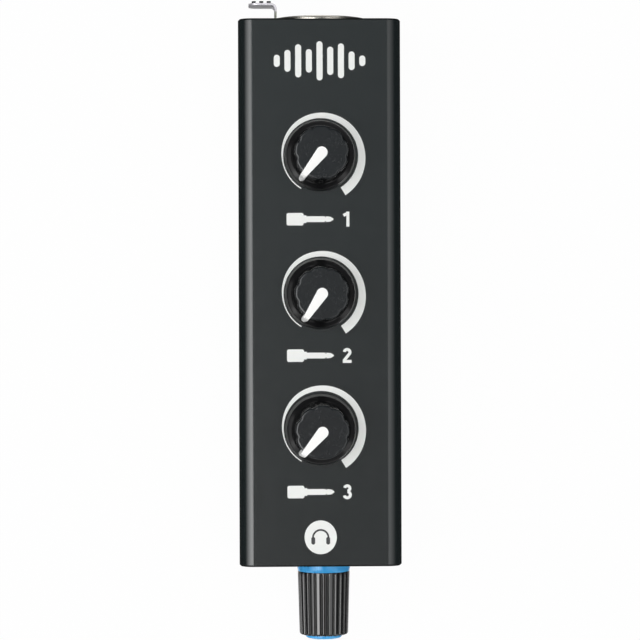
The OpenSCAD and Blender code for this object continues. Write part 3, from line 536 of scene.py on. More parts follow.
FINISHES: dict[str, Finish] = {
    "case_paint": CasePaint(
        "satin_case_paint", tone(24, 31, 32), shade=0.08, patch_mm=9.0,
        rough=0.2, rough_spread=0.03, relief_mm=0.0008, grain_mm=0.16,
    ),
    "screw_black": Finish(
        "blackened_screw_steel", tone(34, 34, 35), shade=0.2, patch_mm=0.8,
        rough=0.35, rough_spread=0.12, relief_mm=0.002, grain_mm=0.2, metal=1.0,
    ),
    "board_green": BoardMask(
        "green_solder_mask", tone(18, 74, 38), shade=0.15, patch_mm=6.0, rough=0.3,
    ),
    "chip_black": Finish(
        "chip_moulding", tone(28, 28, 29), shade=0.2, patch_mm=1.0,
        rough=0.6, rough_spread=0.1, relief_mm=0.004, grain_mm=0.12,
    ),
    "capacitor_sleeve": Finish(
        "capacitor_sleeve", tone(26, 30, 52), shade=0.1, patch_mm=2.0, rough=0.35,
    ),
    "pot_metal": Finish(
        "stamped_zinc", tone(172, 173, 176), shade=0.1, patch_mm=2.0,
        rough=0.32, rough_spread=0.1, relief_mm=0.002, grain_mm=0.3, metal=1.0,
    ),
    "nut_nickel": Finish(
        "nut_nickel", tone(196, 194, 188), shade=0.08, patch_mm=1.2,
        rough=0.28, rough_spread=0.1, relief_mm=0.001, grain_mm=0.2, metal=1.0,
    ),
    "knob_black": KnobPlastic(
        "moulded_knob_black", tone(15, 20, 23), shade=0.12, patch_mm=3.0,
        rough=0.21, rough_spread=0.03, relief_mm=0.0008, grain_mm=0.14, specular=0.42,
    ),
    "pointer_white": Finish(
        "pointer_white", tone(251, 251, 249), shade=0.015, patch_mm=2.0,
        rough=0.4, rough_spread=0.06, relief_mm=0.001, grain_mm=0.2,
    ),
    "volume_black": RibbedPlastic(
        "volume_knob_black", tone(18, 20, 22), shade=0.15, patch_mm=2.0,
        rough=0.11, rough_spread=0.03, relief_mm=0.0004, grain_mm=0.2, specular=0.8,
    ),
    "accent_blue": Finish(
        "accent_blue", tone(72, 182, 255), shade=0.05, patch_mm=2.5,
        rough=0.2, rough_spread=0.05, relief_mm=0.0006, grain_mm=0.25,
    ),
    "socket_black": Finish(
        "socket_nylon", tone(27, 27, 29), shade=0.15, patch_mm=1.5,
        rough=0.45, rough_spread=0.1, relief_mm=0.003, grain_mm=0.15,
    ),
    "socket_nickel": Finish(
        "turned_nickel", tone(228, 224, 214), shade=0.06, patch_mm=1.4,
        rough=0.22, rough_spread=0.05, relief_mm=0.0003, grain_mm=0.2,
        stretch=(1.0, 0.12, 1.0), metal=1.0,
    ),
    "contact_gold": Finish(
        "contact_gold", tone(222, 178, 92), shade=0.08, patch_mm=1.0,
        rough=0.25, rough_spread=0.08, relief_mm=0.0008, grain_mm=0.15, metal=1.0,
    ),
    "latch_steel": LatchSteel(
        "brushed_latch_steel", tone(204, 202, 208), shade=0.06, patch_mm=1.2,
        rough=0.4, rough_spread=0.06, relief_mm=0.0002, grain_mm=0.25,
        stretch=(0.2, 1.0, 1.0), metal=0.45,
    ),
    "spring_steel": Finish(
        "spring_wire", tone(168, 168, 172), shade=0.1, patch_mm=0.6,
        rough=0.3, rough_spread=0.1, relief_mm=0.001, grain_mm=0.1, metal=1.0,
    ),
    "light_lens": Finish(
        "milky_lens", tone(214, 222, 214), shade=0.03, patch_mm=1.0,
        rough=0.2, rough_spread=0.05, relief_mm=0.0008, grain_mm=0.2,
    ),
    "cell_foil": Finish(
        "cell_foil", tone(176, 180, 186), shade=0.08, patch_mm=3.0,
        rough=0.38, rough_spread=0.12, relief_mm=0.02, grain_mm=1.8, metal=0.8,
    ),
    "foam": Finish(
        "foam_tape", tone(22, 22, 22), shade=0.3, patch_mm=0.4,
        rough=0.9, rough_spread=0.05, relief_mm=0.05, grain_mm=0.35,
    ),
    "lead_red": Finish(
        "lead_insulation", tone(150, 24, 22), shade=0.1, patch_mm=1.0, rough=0.45,
    ),
    "plug_cream": Finish(
        "plug_nylon", tone(226, 220, 200), shade=0.04, patch_mm=1.2, rough=0.45,
    ),
}
WHITE_INK = PrintInk(
    "white_screen_print", tone(243, 245, 242), shade=0.02, patch_mm=2.0,
    rough=0.55, rough_spread=0.08, relief_mm=0.002, grain_mm=0.12,
)
DARK_INK = PrintInk(
    "dark_screen_print", tone(38, 38, 40), shade=0.1, patch_mm=1.0,
    rough=0.55, rough_spread=0.08, relief_mm=0.002, grain_mm=0.12,
    hole=(0.2, 0.2, 0.2, 1.0),
)


@dataclass
class Surface:
    """A surface of quads and triangles, in millimetres."""

    points: np.ndarray
    quads: np.ndarray
    triangles: np.ndarray
    uv: np.ndarray | None = None
    smooth: bool = True

    def outward(self) -> "Surface":
        """Turns the faces round where the enclosed volume comes out negative.

        Returns:
            This surface, with its faces pointing out.
        """
        a, b, c, d = (self.points[self.quads[:, k]] for k in range(4))
        volume = np.einsum("ij,ij->", a, np.cross(b, c)) + np.einsum("ij,ij->", a, np.cross(c, d))
        if volume < 0:
            self.quads = self.quads[:, ::-1]
        return self

    def moved(self, place: Matrix) -> "Surface":
        """Puts the points through a turn and a shift.

        Args:
            place: Matrix without scale or mirror.

        Returns:
            The surface in its new place.
        """
        grid = np.array(place)
        points = self.points @ grid[:3, :3].T + grid[:3, 3]
        return Surface(points, self.quads, self.triangles, self.uv, self.smooth)

    def piece(self, name: str, material: bpy.types.Material) -> bpy.types.Object:
        """Makes the Blender object.

        Args:
            name: Name of the piece.
            material: Its finish.

        Returns:
            An object at the origin with its place in its mesh.
        """
        mesh = bpy.data.meshes.new(name)
        faces = self.quads.tolist() + self.triangles.tolist()
        mesh.from_pydata((self.points * MM).tolist(), [], faces)
        if self.uv is not None:
            mesh.uv_layers.new(name="along").data.foreach_set("uv", self.uv.ravel())
        mesh.polygons.foreach_set("use_smooth", np.full(len(faces), self.smooth))
        mesh.materials.append(material)
        mesh.update()
        made = bpy.data.objects.new(name, mesh)
        bpy.context.scene.collection.objects.link(made)
        return made


def rounded(corners: list[Vec3], step: float, bends: int = 7, same: float = 1e-6) -> np.ndarray:
    """Draws a profile through corners and rounds each of them.

    A corner with fillet f is replaced by the quadratic curve from the point f before it to
    the point f after it, with the corner as its control point. Then points are added so
    that none are further apart than step along the profile.

    Args:
        corners: Radius, height and fillet of each corner.
        step: Greatest distance between neighbouring points.
        bends: Points on each curve.
        same: Distance up to which two points are one.

    Returns:
        Radius and height of each point.
    """
    data = np.array(corners)
    knots, cut = data[:, :2], data[1:-1, 2:3]
    back, ahead = knots[:-2] - knots[1:-1], knots[2:] - knots[1:-1]
    start = knots[1:-1] + back / np.linalg.norm(back, axis=1, keepdims=True) * cut
    stop = knots[1:-1] + ahead / np.linalg.norm(ahead, axis=1, keepdims=True) * cut
    t = np.linspace(0.0, 1.0, bends)[None, :, None]
    curve = (1 - t) ** 2 * start[:, None] + 2 * t * (1 - t) * knots[1:-1, None] + t**2 * stop[:, None]
    path = np.vstack([knots[:1], curve.reshape(-1, 2), knots[-1:]])
    length = np.r_[0.0, np.cumsum(np.linalg.norm(np.diff(path, axis=0), axis=1))]
    keep = np.r_[True, np.diff(length) > same]
    path, length = path[keep], length[keep]
    along = np.unique(np.round(np.r_[length, np.arange(0.0, length[-1], step)], 5))
    return np.column_stack([np.interp(along, length, path[:, k]) for k in range(2)])


def revolve(profile: np.ndarray, columns: int, radius_at: RadiusAt) -> Surface:
    """Turns a profile that starts and ends on the axis once round Z.

    A point at angle a is (r cos a, r sin a, h), where h is the profile's height and r is
    what radius_at makes of the profile's radius at that angle.

    Args:
        profile: Radius and height of each point, from the upper pole to the lower one.
        columns: Number of steps round the axis.
        radius_at: Gives the radius for rows of the profile and a row of angles.

    Returns:
        A closed surface whose UV map holds the share of a turn and of the profile.
    """
    rows = profile[1:-1]
    count = len(rows)
    angle = np.linspace(0.0, 2.0 * np.pi, columns, endpoint=False)
    radius = radius_at(rows, angle)
    height = np.broadcast_to(rows[:, 1:2], radius.shape)
    rings = np.stack([radius * np.cos(angle), radius * np.sin(angle), height], axis=-1)
    poles = np.column_stack([np.zeros((2, 2)), profile[[0, -1], 1]])
    points = np.vstack([poles[:1], rings.reshape(-1, 3), poles[1:]])
    i, j = np.meshgrid(np.arange(count - 1), np.arange(columns), indexing="ij")
    after = (j + 1) % columns
    ring, below = 1 + i * columns, 1 + (i + 1) * columns
    quads = np.stack([ring + j, below + j, below + after, ring + after], axis=-1).reshape(-1, 4)
    column = np.arange(columns)
    following = (column + 1) % columns
    last = 1 + (count - 1) * columns
    top = np.column_stack([np.zeros(columns, int), 1 + column, 1 + following])
    bottom = np.column_stack([np.full(columns, len(points) - 1), last + following, last + column])
    length = np.r_[0.0, np.cumsum(np.linalg.norm(np.diff(profile, axis=0), axis=1))]
    share = length / length[-1]
    upper, lower = share[1:-2][i], share[2:-1][i]
    left, right = j / columns, (j + 1) / columns
    quad_uv = np.stack([left, upper, left, lower, right, lower, right, upper], axis=-1).reshape(-1, 2)
    side, beside = column / columns, (column + 1) / columns
    first, end = np.full(columns, share[1]), np.full(columns, share[-2])
    zero, one = np.zeros(columns), np.ones(columns)
    top_uv = np.column_stack([side, zero, side, first, beside, first]).reshape(-1, 2)
    bottom_uv = np.column_stack([side, one, beside, end, side, end]).reshape(-1, 2)
    return Surface(points, quads, np.vstack([top, bottom]), np.vstack([quad_uv, top_uv, bottom_uv]))


def ribbon(left: np.ndarray, right: np.ndarray, low: float, high: float) -> Surface:
    """Makes a flat slab between two edges.

    The section at each station is the rectangle from the left edge to the right edge and
    from low to high, carried along the stations and closed at both ends.

    Args:
        left: X and Y of the left edge at each station.
        right: X and Y of the right edge at each station.
        low: Height of the slab's lower face.
        high: Height of its upper face.

    Returns:
        A closed surface with flat faces.
    """
    count = len(left)
    levels = [(left, high), (right, high), (right, low), (left, low)]
    edges = [np.column_stack([edge, np.full(count, level)]) for edge, level in levels]
    section = np.stack(edges, axis=1)
    i, k = np.meshgrid(np.arange(count - 1), np.arange(4), indexing="ij")
    after = (k + 1) % 4
    here, ahead = 4 * i, 4 * (i + 1)
    quads = np.stack([here + k, here + after, ahead + after, ahead + k], axis=-1).reshape(-1, 4)
    caps = np.array([[3, 2, 1, 0], np.arange(4) + 4 * (count - 1)])
    faces = np.vstack([quads, caps])
    return Surface(section.reshape(-1, 3), faces, NO_TRIANGLES, smooth=False).outward()


def sheet(x: np.ndarray, y: np.ndarray, z: np.ndarray) -> Surface:
    """Joins the points of a grid into an open sheet.

    Args:
        x: X of the grid's points, by row and column.
        y: Y of the points.
        z: Z of the points.

    Returns:
        A sheet of quads.
    """
    rows, columns = x.shape
    i, j = np.meshgrid(np.arange(rows - 1), np.arange(columns - 1), indexing="ij")
    row, after = columns * i, columns * (i + 1)
    quads = np.stack([row + j, after + j, after + j + 1, row + j + 1], axis=-1).reshape(-1, 4)
    points = np.column_stack([x.ravel(), y.ravel(), z.ravel()])
    return Surface(points, quads, NO_TRIANGLES)


def joined(parts: list[Surface]) -> Surface:
    """Puts several flat slabs into one surface, their point numbers shifted in turn.

    Args:
        parts: The slabs.

    Returns:
        One surface with flat faces.
    """
    starts = np.cumsum([0] + [len(part.points) for part in parts[:-1]])
    quads = np.vstack([part.quads + start for part, start in zip(parts, starts)])
    points = np.vstack([part.points for part in parts])
    return Surface(points, quads, NO_TRIANGLES, smooth=False)


def capsule(centre: Vec2, length: float, width: float, low: float, high: float) -> Surface:
    """Makes an upright bar with round ends.

    The half width at height t from the middle is that of a circle of the bar's width within
    the last half width of each end, and constant between.

    Args:
        centre: X and Y of its middle.
        length: Overall length along Y.
        width: Width along X.
        low: Height of the lower face.
        high: Height of the upper face.

    Returns:
        A closed surface.
    """
    half, straight = width / 2.0, (length - width) / 2.0
    bends, tip = 9, 0.02
    lower, upper = np.linspace(-np.pi / 2, 0.0, bends), np.linspace(0.0, np.pi / 2, bends)
    along = np.r_[-straight + half * np.sin(lower), straight + half * np.sin(upper)]
    across = half * np.maximum(np.r_[np.cos(lower), np.cos(upper)], tip)
    y = centre[1] + along
    left, right = np.column_stack([centre[0] - across, y]), np.column_stack([centre[0] + across, y])
    return ribbon(left, right, low, high)


def line(start: Vec2, stop: Vec2, points: int = 5) -> np.ndarray:
    """Points on the straight line between two points."""
    share = np.linspace(0.0, 1.0, points)[:, None]
    return np.array(start) * (1.0 - share) + np.array(stop) * share


def bow(centre: Vec2, radius: float, first: float, last: float, points: int = 33) -> np.ndarray:
    """Points on a circle's arc from the first angle to the last, in degrees from X."""
    turn = np.radians(np.linspace(first, last, points))
    return np.array(centre) + radius * np.column_stack([np.cos(turn), np.sin(turn)])


def stroke(path: np.ndarray, half: float, low: float, high: float) -> Surface:
    """Carries a pen of even width along a path.

    At each point the edges stand off by half the width, square to the path's direction there.

    Args:
        path: X and Y of each point.
        half: Half of the pen's width.
        low: Height of the lower face.
        high: Height of the upper face.

    Returns:
        A closed slab.
    """
    way = np.gradient(path, axis=0)
    way = way / np.linalg.norm(way, axis=1, keepdims=True)
    square = np.column_stack([-way[:, 1], way[:, 0]]) * half
    return ribbon(path + square, path - square, low, high)


def scallop(offset: np.ndarray, half: float, depth: float) -> np.ndarray:
    """Depth of a groove across its width.

    It is depth times half of one plus the cosine of the offset scaled to a half turn, and
    zero beyond half the width, so its lips and its bottom are smooth.

    Args:
        offset: Distance from the groove's middle.
        half: Half of the groove's width.
        depth: Greatest depth.

    Returns:
        The depth at each offset.
    """
    share = np.clip(np.abs(offset) / half, 0.0, 1.0)
    return depth * (0.5 + 0.5 * np.cos(np.pi * share))


def ease(value: np.ndarray, low: float, high: float) -> np.ndarray:
    """Rises smoothly from zero at low to one at high."""
    t = np.clip((value - low) / (high - low), 0.0, 1.0)
    return t * t * (3.0 - 2.0 * t)


@dataclass
class InputDial:
    """One input knob: polished skirt, fluted grip and flat top."""

    number: int
    height: float = 15.0
    gap: float = 0.8
    skirt_r: float = 8.85
    skirt_in: float = 0.5
    skirt_h: float = 4.0
    grip_r: float = 6.55
    base_r: float = 6.85
    base_up: float = 1.25
    foot_out: float = 0.3
    foot_up: float = 0.74
    recess_r: float = 6.17
    recess_h: float = 3.0
    neck_r: float = 3.85
    neck_h: float = 4.8
    bore_r: float = 3.05
    bore_h: float = 13.2
    places: int = 9
    flute_half: float = 1.3
    flute_depth: float = 0.38
    flute_up: Vec2 = (1.1, 1.9)  # heights above the skirt over which the flutes begin
    flute_r: Vec2 = (4.9, 6.1)  # radii over which they begin on the top
    columns: int = 288
    step: float = 0.45

    def profile(self) -> np.ndarray:
        """Half section from the top's middle round the skirt to the end of the shaft's bore.

        Returns:
            Radius and height of each point.
        """
        corners = [
            (0.0, self.height, 0.0),
            (self.grip_r, self.height, 0.5),
            (self.base_r, self.skirt_h + self.base_up, 0.4),
            (self.base_r + self.foot_out, self.skirt_h + self.foot_up, 0.2),
            (self.skirt_r - self.skirt_in, self.skirt_h, 0.15),
            (self.skirt_r, self.gap, 0.25),
            (self.recess_r, self.gap, 0.1),
            (self.recess_r, self.recess_h, 0.1),
            (self.neck_r, self.recess_h, 0.1),
            (self.neck_r, self.neck_h, 0.1),
            (self.bore_r, self.neck_h, 0.1),
            (self.bore_r, self.bore_h, 0.2),
            (0.0, self.bore_h, 0.0),
        ]
        return rounded(corners, self.step)

    def radius(self, rows: np.ndarray, angle: np.ndarray) -> np.ndarray:
        """Sinks the flutes into the outside of the grip, and none under the pointer.

        Args:
            rows: Radius and height of the profile's rows.
            angle: Angles round the axis.

        Returns:
            Radius of each row at each angle.
        """
        pitch = 2.0 * np.pi / self.places
        turn = angle - math.radians(90.0 + POINTER_TURN[self.number - 1])
        turn = np.mod(turn + np.pi, 2.0 * np.pi) - np.pi
        beside = np.mod(turn + pitch / 2.0, pitch) - pitch / 2.0
        groove = scallop(beside * self.base_r, self.flute_half, self.flute_depth)
        groove = np.where(np.abs(turn) < pitch / 2.0, 0.0, groove)
        outside = np.arange(len(rows)) < np.argmax(rows[:, 0])
        low, high = (self.skirt_h + up for up in self.flute_up)
        reach = ease(rows[:, 1], low, high) * ease(rows[:, 0], *self.flute_r)
        return rows[:, :1] - (outside * reach)[:, None] * groove[None, :]

    def build(self, materials: dict[str, bpy.types.Material]) -> bpy.types.Object:
        """Makes the knob over its solid.

        Args:
            materials: Finishes by slot.

        Returns:
            The knob, riding on its dial.
        """
        place = Matrix.Translation((0.0, DIAL_Y[self.number - 1], PANEL_Z))
        form = revolve(self.profile(), self.columns, self.radius).moved(place)
        knob = form.piece(f"dial_knob_{self.number}", materials["knob_black"])
        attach(knob, f"input_dial_{self.number}")
        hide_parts(f"input_knob_{self.number}")
        return knob


@dataclass
class VolumeKnob:
    """The ribbed knob on the bottom end."""

    start: float = VOLUME_REACH[0]
    end: float = VOLUME_REACH[1]
    base_r: float = VOLUME_R[0]
    tip_r: float = VOLUME_R[1]
    cap_r: float = 4.7
    cap_deep: float = 1.0
    neck_r: float = 3.85
    neck_h: float = 4.3
    bore_r: float = 3.05
    bore_h: float = 16.3
    grooves: int = 24
    groove_half: float = 0.52
    groove_depth: float = 0.46
    groove_up: Vec2 = (0.15, 0.55)  # distances from the collar over which the grooves begin
    groove_r: Vec2 = (5.2, 5.7)  # radii over which they begin on the end face
    columns: int = 480
    step: float = 0.5

    def profile(self) -> np.ndarray:
        """Half section from the cap's seat round the outside to the end of the shaft's bore.

        Returns:
            Radius and height of each point.
        """
        corners = [
            (0.0, self.end - self.cap_deep, 0.0),
            (self.cap_r, self.end - self.cap_deep, 0.05),
            (self.cap_r, self.end, 0.15),
            (self.tip_r, self.end, 0.6),
            (self.base_r, self.start, 0.12),
            (self.neck_r, self.start, 0.1),
            (self.neck_r, self.neck_h, 0.1),
            (self.bore_r, self.neck_h, 0.1),
            (self.bore_r, self.bore_h, 0.2),
            (0.0, self.bore_h, 0.0),
        ]
        return rounded(corners, self.step)

    def radius(self, rows: np.ndarray, angle: np.ndarray) -> np.ndarray:
        """Sinks the grooves into the outside, fading at the collar and on the end face.

        Args:
            rows: Radius and height of the profile's rows.
            angle: Angles round the axis.

        Returns:
            Radius of each row at each angle.
        """
        pitch = 2.0 * np.pi / self.grooves
        beside = np.mod(angle, pitch) - pitch / 2.0
        groove = scallop(beside * self.base_r, self.groove_half, self.groove_depth)
        outside = np.arange(len(rows)) < np.argmax(rows[:, 0])
        low, high = (self.start + up for up in self.groove_up)
        reach = ease(rows[:, 1], low, high) * ease(rows[:, 0], *self.groove_r)
        return rows[:, :1] - (outside * reach)[:, None] * groove[None, :]

    def build(self, materials: dict[str, bpy.types.Material]) -> bpy.types.Object:
        """Makes the knob over its solid, its own Z turned to point out of the end plate.

        Args:
            materials: Finishes by slot.

        Returns:
            The knob, riding on the volume dial.
        """
        turn = Matrix.Rotation(math.radians(90.0), 4, "X")
        place = Matrix.Translation((VOLUME_X, -PLATE_OUT, AXIS_Z)) @ turn
        form = revolve(self.profile(), self.columns, self.radius).moved(place)
        knob = form.piece("volume_knob_ribbed", materials["volume_black"])
        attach(knob, "volume_dial")
        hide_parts("volume_knob")
        return knob


@dataclass
class LatchSpring:
    """The coil behind the latch, which on the real mixer shortens as the latch goes in; it is drawn at
    one length.
    """

    x: float = -10.65
    start: float = 47.35
    length: float = 3.9
    turns: int = 4
    coil_r: float = 1.2
    wire_r: float = 0.2
    keep: float = 0.53  # share of the length left with the latch pushed in
    rings: int = 160
    sides: int = 12

    def coil(self) -> Surface:
        """Carries the wire's circle along a helix.

        At a share t of the length the helix is at the angle q = 2 pi turns t and at the height
        length times t. The circle there spans the direction out from the axis and the direction
        square to both that and the helix. A point in the middle of each end closes the tube.

        Returns:
            A closed tube along Z.
        """
        t = np.linspace(0.0, 1.0, self.rings + 1)[:, None]
        a = np.linspace(0.0, 2.0 * np.pi, self.sides, endpoint=False)[None, :]
        q, rise = 2.0 * np.pi * self.turns * t, self.length / (2.0 * np.pi * self.turns)
        slope = math.hypot(self.coil_r, rise)
        out, up = self.coil_r + self.wire_r * np.cos(a), self.wire_r * np.sin(a)
        x = out * np.cos(q) + up * rise / slope * np.sin(q)
        y = out * np.sin(q) - up * rise / slope * np.cos(q)
        z = self.length * t + up * self.coil_r / slope
        grid = np.stack([x, y, z], axis=-1)
        points = np.vstack([grid.reshape(-1, 3), grid[0].mean(axis=0), grid[-1].mean(axis=0)])
        i, k = np.meshgrid(np.arange(self.rings), np.arange(self.sides), indexing="ij")
        after = (k + 1) % self.sides
        row, above = i * self.sides, (i + 1) * self.sides
        quads = np.stack([row + k, above + k, above + after, row + after], axis=-1).reshape(-1, 4)
        side, beside = k[0], after[0]
        last = self.rings * self.sides
        foot = np.column_stack([np.full(self.sides, len(points) - 2), side, beside])
        head = np.column_stack([np.full(self.sides, len(points) - 1), last + beside, last + side])
        return Surface(points, quads, np.vstack([foot, head]))

    def build(self, materials: dict[str, bpy.types.Material]) -> bpy.types.Object:
        """Makes the coil over its solid, its own Z turned along Y and its inner end at the start.

        Args:
            materials: Finishes by slot.

        Returns:
            The coil, riding on the case.
        """
        turn = Matrix.Rotation(math.radians(-90.0), 4, "X")
        place = Matrix.Translation((self.x, self.start, AXIS_Z)) @ turn
        spring = self.coil().moved(place).piece("latch_coil", materials["spring_steel"])
        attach(spring, "case")
        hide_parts("latch_spring")
        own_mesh(spring)
        return spring


@dataclass
class PanelPrint:
    """The print on the front panel: dial arcs, numbers, plug signs, level bars and the disc."""

    low: float = PANEL_Z - 0.02
    high: float = PANEL_Z + 0.03
    arc_r: float = 9.3
    arc_shift: tuple[Vec2, ...] = ((0.19, 0.0), (0.18, -0.08), (0.11, 0.19))
    arc_ends: Vec2 = (-149.0, 148.0)  # degrees from +Y, clockwise
    arc_stations: int = 181
    arc_blur: int = 19  # stations in the average
    arc_width: tuple[Vec2, ...] = (  # degrees and width
        (-149.0, 0.27), (-120.0, 0.27), (-105.0, 0.3), (-90.0, 0.38), (-75.0, 0.53),
        (-60.0, 0.77), (-45.0, 0.98), (-30.0, 1.16), (0.0, 1.35), (30.0, 1.49),
        (60.0, 1.58), (90.0, 1.77), (105.0, 1.97), (120.0, 2.12), (148.0, 2.28),
    )
    plug_outline: tuple[Vec2, ...] = (  # X and half width
        (-8.3, 1.25), (-8.0, 1.55), (-4.4, 1.55), (-4.1, 1.25), (-4.1, 0.95),
        (-3.4, 0.95), (-3.4, 0.72), (1.2, 0.72), (1.2, 0.5), (1.5, 0.5),
        (1.5, 0.72), (2.6, 0.6), (3.3, 0.12),
    )
    plug_lead: float = 1e-4
    number_x: float = 6.6
    pen_half: float = 0.37
    pen_lift: float = 0.004
    bar_y: float = 57.4
    bar_width: float = 1.5
    bar_pitch: float = 2.65
    bar_heights: tuple[float, ...] = (3.0, 5.4, 8.2, 5.8, 9.7, 7.0, 8.6, 4.6, 2.6)
    disc: Vec2 = (-0.1, -60.7)
    disc_r: Vec2 = (4.0, 4.18)  # along X and along Y
    disc_stations: int = 97
    disc_tip: float = 0.004  # least share of the half width
    sign_z: Vec2 = (-0.01, 0.02)  # the sign's faces, from the print's face
    sign_drop: float = 0.1
    band_r: Vec2 = (2.15, 1.7)  # outside and inside
    band_stations: int = 49
    ear_place: Vec2 = (1.85, -0.75)
    ear_size: Vec2 = (1.9, 0.95)

    def arc(self, number: int) -> Surface:
        """Draws the tapered arc of one dial.

        Its inner edge is a circle. Its outer edge stands off by the widths in the table, read
        at each angle and averaged over the angles beside it, so that it has no corners.

        Args:
            number: Number of the dial, from the top.

        Returns:
            A closed slab.
        """
        share = np.linspace(0.0, 1.0, self.arc_stations)
        turn = np.radians(self.arc_ends[0] + (self.arc_ends[1] - self.arc_ends[0]) * share)
        way = np.column_stack([np.sin(turn), np.cos(turn)])
        table = np.array(self.arc_width)
        width = np.interp(np.degrees(turn), table[:, 0], table[:, 1])
        spread = np.full(self.arc_blur, 1.0 / self.arc_blur)
        width = np.convolve(np.pad(width, self.arc_blur // 2, mode="edge"), spread, mode="valid")
        outer = self.arc_r + width
        shift = self.arc_shift[number - 1]
        centre = np.array([shift[0], DIAL_Y[number - 1] + shift[1]])
        return ribbon(centre + way * outer[:, None], centre + way * self.arc_r, self.low, self.high)

    def plug(self, y: float) -> Surface:
        """Draws the plug sign beside a dial's number as a strip whose half width has steps.

        Each station lies a hair further along than the table says, so that no two coincide.

        Args:
            y: Place of its middle.

        Returns:
            A closed slab.
        """
        x, half = np.array(self.plug_outline).T
        x = x + np.arange(len(x)) * self.plug_lead
        upper, lower = np.column_stack([x, y + half]), np.column_stack([x, y - half])
        return ribbon(upper, lower, self.low, self.high)

    def bars(self) -> Surface:
        """Draws a row of level bars, evenly spaced about the panel's middle.

        Returns:
            Closed bars with round ends.
        """
        middle = (len(self.bar_heights) - 1) / 2.0
        parts = []
        for place, tall in enumerate(self.bar_heights):
            centre = ((place - middle) * self.bar_pitch, self.bar_y)
            parts.append(capsule(centre, tall, self.bar_width, self.low, self.high))
        return joined(parts)

    def round_disc(self) -> Surface:
        """Draws the disc, a little taller than wide, as a strip with an ellipse's half width.

        Returns:
            A closed slab.
        """
        swing = np.linspace(-np.pi / 2, np.pi / 2, self.disc_stations)
        x = self.disc[0] + self.disc_r[0] * np.sin(swing)
        half = self.disc_r[1] * np.maximum(np.cos(swing), self.disc_tip)
        upper, lower = self.disc[1] + half, self.disc[1] - half
        return ribbon(np.column_stack([x, upper]), np.column_stack([x, lower]), self.low, self.high)

    def phones_sign(self) -> Surface:
        """Draws a headphone sign on the disc: an arc for the band and a bar for each ear.

        Returns:
            Closed slabs on the disc's face.
        """
        low, high = (self.high + up for up in self.sign_z)
        turn = np.radians(np.linspace(-90.0, 90.0, self.band_stations))
        way = np.column_stack([np.sin(turn), np.cos(turn)])
        middle = np.array([self.disc[0], self.disc[1] - self.sign_drop])
        parts = [ribbon(middle + way * self.band_r[0], middle + way * self.band_r[1], low, high)]
        for side in (-1.0, 1.0):
            centre = (middle[0] + side * self.ear_place[0], middle[1] + self.ear_place[1])
            parts.append(capsule(centre, *self.ear_size, low, high))
        return joined(parts)

    def numeral(self, digit: int, y: float) -> Surface:
        """Draws one numeral with a pen of even width.

        A bowl is a circle's arc round its own middle, and the other strokes are straight. Each
        stroke's face is a hair above that of the one before.

        Args:
            digit: 1, 2 or 3.
            y: Place of its middle.

        Returns:
            Closed slabs.
        """
        if digit == 1:
            paths = [line((0.3, -1.85), (0.3, 1.85)), line((0.35, 1.52), (-0.8, 0.92))]
        elif digit == 2:
            bowl = np.vstack([bow((0.0, 0.79), 0.7, 172.0, -34.0), line((0.5, 0.3), (-0.8, -1.3))])
            paths = [bowl, line((-1.08, -1.48), (1.1, -1.48))]
        else:
            paths = [bow((-0.08, 0.83), 0.65, 165.0, -86.0), bow((-0.08, -0.72), 0.76, 86.0, -165.0)]
        spot = np.array([self.number_x, y])
        parts = []
        for place, path in enumerate(paths):
            parts.append(stroke(path + spot, self.pen_half, self.low, self.high + self.pen_lift * place))
        return joined(parts)

    def build(self) -> list[bpy.types.Object]:
        """Prints the panel.

        Returns:
            The printed pieces, riding on the case.
        """
        white, dark = WHITE_INK.material(), DARK_INK.material()
        made = [self.bars().piece("print_level_bars", white)]
        made.append(self.round_disc().piece("print_disc", white))
        for place, label in enumerate(LABEL_Y, start=1):
            made.append(self.arc(place).piece(f"print_arc_{place}", white))
            made.append(self.plug(label).piece(f"print_plug_{place}", white))
            made.append(self.numeral(place, label).piece(f"print_number_{place}", white))
        sign = self.phones_sign().piece("print_headphones", dark)
        made.append(sign)
        for piece in made:
            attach(piece, "case")
        return made


class Edge(Enum):
    """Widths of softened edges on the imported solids, in millimetres."""

    FINE = 0.06
    SOFT = 0.12


@dataclass
class PackedSolids:
    """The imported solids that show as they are, with their finishes and softened edges."""

    edges: dict[str, Edge]
    weld_mm: float = 0.001
    segments: int = 2
    least_angle: float = 40.0

    def dress(self, materials: dict[str, bpy.types.Material]) -> None:
        """Gives every solid the finish of its slot and softens the edges that show.

        Args:
            materials: Finishes by slot.
        """
        for name, node in frame["nodes"].items():
            slot = node.material_slots[0].material.name.split(".")[0]
            node.material_slots[0].material = materials[slot]
            LOG.info("finish %s on %s", slot, name)
        for name, edge in self.edges.items():
            node = frame["nodes"][name]
            weld = node.modifiers.new("weld", "WELD")
            weld.merge_threshold = self.weld_mm * MM
            bevel = node.modifiers.new("soft_edges", "BEVEL")
            bevel.width = edge.value * MM
            bevel.segments = self.segments
            bevel.limit_method = "ANGLE"
            bevel.angle_limit = math.radians(self.least_angle)
            bevel.use_clamp_overlap = True


